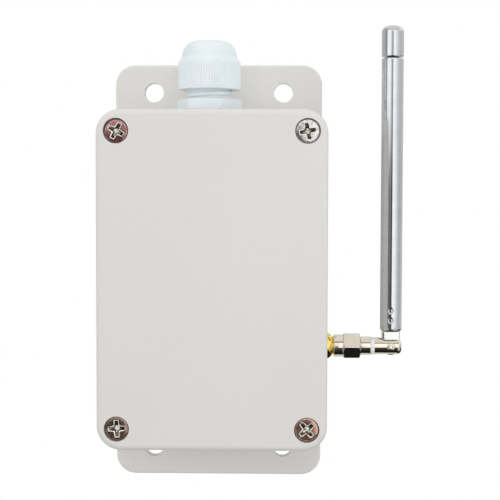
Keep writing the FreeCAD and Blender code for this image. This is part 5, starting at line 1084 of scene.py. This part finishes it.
def studio_cards(tree, way):
    """What metal shows of the studio: sheets, cloths, floor and ceiling round it, by the way it looks."""
    x, y, z = tree.add("SeparateXYZ", way).outputs
    in_degrees = 180 / pi
    azimuth = tree.times(tree.math("ARCTAN2", x, tree.times(y, -1.0)), in_degrees)
    height = tree.times(tree.math("ARCSINE", z), in_degrees)
    turn = tree.spread(azimuth, -180, 180)

    def band(*stops):
        """Tones round the horizon, each after its degrees from the viewer's side towards +X."""
        return tree.ramp(turn, [((place + 180) / 360, grey(*tone)) for place, *tone in stops])

    def between(value, low, high, edge):
        """1 inside a range of degrees, 0 outside, with narrow soft edges."""
        rise = tree.spread(value, low - edge, low + edge)
        fall = tree.spread(value, high - edge, high + edge, 1.0, 0.0)
        return tree.times(rise, fall)

    # Round the horizon: a grey room on the left, dark cloth beside the camera, a bright sheet right
    bright, cool = (2.4, 1.28, 1.0, 0.99, 0.97), (0.97, 0.99, 1.0)
    cards = band(
        (-180, 0.74), (-142, 0.34), (-118, 0.25), (-60, 0.25, 1, 0.99, 0.96), (-50, 0.34),
        (-44, 0.27), (-38, 0.21), (-14, 0.22, 1, 0.98, 0.95), (-8, 0.07), (1.6, 0.05), bright,
        (12, 1.26), (30, 1.22), (40, 1.04), (50, 0.88), (62, 0.70, *cool), (76, 0.58, *cool),
        (95, 0.56, *cool), (112, 0.64), (180, 0.74))
    # Upper left: a window-like sheet, which starts just above the horizon
    window = band(
        (-180, 0.74), (-142, 0.60), (-118, 0.54), (-88, 0.50), (-80, 0.36), (-68, 0.32),
        (-59, 1.22), (-34, 1.26), (-24, 1.1), (-14, 0.6), (-6, 0.42), (1.6, 0.40), bright,
        (12, 1.26), (30, 1.1), (50, 0.84), (76, 0.62), (180, 0.74))
    cards = tree.mix(tree.spread(height, 0.3, 3.2), cards, window)
    # Single cards: the pale floor on both sides of the camera, a dark cloth low on the left, a bright
    # sheet high in front, and a dark and a bright sheet on the right
    for sides, heights, edge, tone in (
            ((-180, -24), (-50, -8.5), 1.2, grey(0.52)),
            ((24, 180), (-50, -8.5), 1.2, grey(0.66)),
            ((-27, 1.4), (-12, -4.2), 0.6, grey(0.09, 1.1, 0.95, 0.9)),
            ((-50, 2), (9, 37), 1.0, grey(1.2)),
            ((84, 155), (-90, -13), 2.0, grey(0.05, 1.2, 0.9, 0.6)),
            ((58, 155), (11, 47), 2.0, grey(0.98))):
        share = tree.times(between(azimuth, *sides, edge), between(height, *heights, edge))
        cards = tree.mix(share, cards, tone)
    # Below the horizon beside the camera: warm brown
    brown = band((-16, 0.22), (-12, 0.14, 1.25, 0.85, 0.68), (-3, 0.15, 1.25, 0.8, 0.6),
                 (-1, 0.34, 1.15, 0.68, 0.5), (1.6, 0.34, 1.15, 0.68, 0.5))
    low_left = tree.times(between(azimuth, -14, 1.9, 0.4), between(height, -30, -9.5, 0.8))
    cards = tree.mix(low_left, cards, brown)
    # Above: a pale ceiling, and a dark gap under it in front
    cards = tree.mix(tree.spread(height, 46.5, 48.5), cards, grey(0.86, 1.0, 0.985, 0.955))
    gap = tree.times(between(height, 37.5, 47.5, 0.8), between(azimuth, -70, 70, 15.0))
    cards = tree.mix(gap, cards, grey(0.035, 1.1, 0.95, 0.8))
    # Below: a dark table edge round this tilt, darkest straight down
    tilt = radians(58)
    under = tree.add("VectorMath", way, (0.0, -cos(tilt), -sin(tilt)), operation="DOT_PRODUCT")
    dark = tree.spread(under.outputs["Value"], cos(radians(43.0)), cos(radians(41.0)))
    steep = tree.spread(height, -58, -46, 1.0, 0.0)
    in_front = tree.spread(tree.math("ABSOLUTE", azimuth), 22, 26, 1.0, 0.0)
    dark = tree.times(dark, tree.math("MAXIMUM", steep, in_front))
    depth = tree.ramp(tree.spread(height, -90, -16), [
        (0.0, grey(0.008)), (0.35, grey(0.014)), (0.62, grey(0.03)), (0.8, grey(0.065, 1.15, 0.97, 0.85)),
        (1.0, grey(0.14, 1.15, 0.97, 0.85)),
    ])
    return tree.mix(dark, cards, depth), z


def world():
    """White background, soft light on the object, and the studio that metal shows."""
    sky = bpy.data.worlds.new("studio")
    bpy.context.scene.world = sky
    tree = Tree(sky)
    path = tree.add("LightPath").outputs
    glossy = path["Is Glossy Ray"]
    cards, z = studio_cards(tree, tree.add("TexCoord").outputs["Generated"])
    soft = tree.ramp(tree.spread(z, -1.0, 1.0), [(0.0, grey(0.45)), (0.5, grey(0.56)), (1.0, grey(0.64))])
    straight = tree.math("MAXIMUM", path["Is Camera Ray"], path["Is Transmission Ray"])
    background = tree.mix(tree.math("MAXIMUM", straight, glossy), soft, grey(1.0))
    final = tree.mix(glossy, background, cards, "MULTIPLY")
    tree.add("OutputWorld", tree.add("Background", final, 1.0).outputs[0])


# Name, place, target, width and height in metres, and power of each soft light
LAMPS = [
    ("front", (0.02, -0.8, 0.10), (0.0, 0.0, 0.0), (0.5, 0.5), 1.41),
    ("over", (0.0, -0.13, 0.36), (0.0, -0.02, 0.04), (0.5, 0.2), 0.37),
    ("left", (-0.46, -0.22, 0.10), (0.0, -0.02, 0.0), (0.3, 0.3), 0.52),
    ("right", (0.46, -0.23, 0.02), (0.0, -0.02, 0.0), (0.3, 0.3), 0.56),
    ("under", (0.0, -0.22, -0.22), (0.0, -0.02, -0.04), (0.5, 0.2), 0.1),
    ("back", (-0.1, 0.75, 0.05), (0.0, 0.0, 0.0), (0.5, 0.5), 1.1),
]


def area_light(name, place, target, size, power):
    """A soft rectangular light aimed at a point; metal shows the studio's cards instead of it."""
    data = bpy.data.lights.new(name, "AREA")
    data.shape = "RECTANGLE"
    data.size, data.size_y = size
    data.energy = power
    lamp = add_object(name, data)
    lamp.location = place
    lamp.rotation_euler = (Vector(target) - Vector(place)).to_track_quat("-Z", "Y").to_euler()
    lamp.visible_camera = False
    lamp.visible_glossy = False


def floor():
    """A pale round floor well below the object, fading to the white around it."""
    radius, fade = 0.48, (0.22, 0.46)
    material = bpy.data.materials.new("floor_look")
    tree = Tree(material)
    x, y, _ = tree.add("SeparateXYZ", tree.add("TexCoord").outputs["Object"]).outputs
    reach = tree.math("SQRT", tree.plus(tree.math("POWER", x, 2.0), tree.math("POWER", y, 2.0)))
    tone = tree.mix(tree.noise(40.0, 2.0, 0.5), grey(0.90), grey(0.94))
    matt = tree.add("BsdfDiffuse", tone).outputs[0]
    white = tree.add("Emission", grey(1.0)).outputs[0]
    both = tree.add("MixShader", tree.spread(reach, *fade, kind="SMOOTHSTEP"), matt, white)
    tree.add("OutputMaterial", both.outputs[0])
    mesh = bpy.data.meshes.new("floor")
    work = bmesh.new()
    bmesh.ops.create_circle(work, cap_ends=True, segments=96, radius=radius)
    work.to_mesh(mesh)
    work.free()
    mesh.materials.append(material)
    ground = add_object("floor", mesh)
    ground.location = (0.01, -0.02, -0.24)
    ground.visible_glossy = False
    ground.visible_diffuse = False


# The photograph's camera, fitted to it: place in millimetres, direction in degrees, focal length in
# pixels of the frame, and the width of Blender's sensor
EYE = (21.664, -457.418, 30.339)
PITCH, YAW, ROLL = -2.867, -1.32, 0.139
FOCAL_PIXELS, FRAME_PIXELS, SENSOR = 1271.07, 500, 36.0


def camera():
    """A camera at the photograph's viewing angle."""
    data = bpy.data.cameras.new("camera")
    data.sensor_fit = "HORIZONTAL"
    data.sensor_width = SENSOR
    data.lens = FOCAL_PIXELS / FRAME_PIXELS * SENSOR
    data.clip_start = 0.01
    data.clip_end = 20.0
    pitch, yaw, roll = (radians(angle) for angle in (PITCH, YAW, ROLL))
    ahead = Vector((sin(yaw) * cos(pitch), cos(yaw) * cos(pitch), sin(pitch)))
    right = Vector((cos(yaw), -sin(yaw), 0.0))
    up = right.cross(ahead)
    side = right * cos(roll) + up * sin(roll)
    top = up * cos(roll) - right * sin(roll)
    turn = Matrix((side, top, -ahead)).transposed().to_4x4()
    eye = add_object("camera", data)
    eye.matrix_world = Matrix.Translation(Vector(EYE) * MM) @ turn
    bpy.context.scene.camera = eye


world()
for lamp in LAMPS:
    area_light(*lamp)
floor()
camera()
bpy.context.scene.view_settings.view_transform = "Standard"
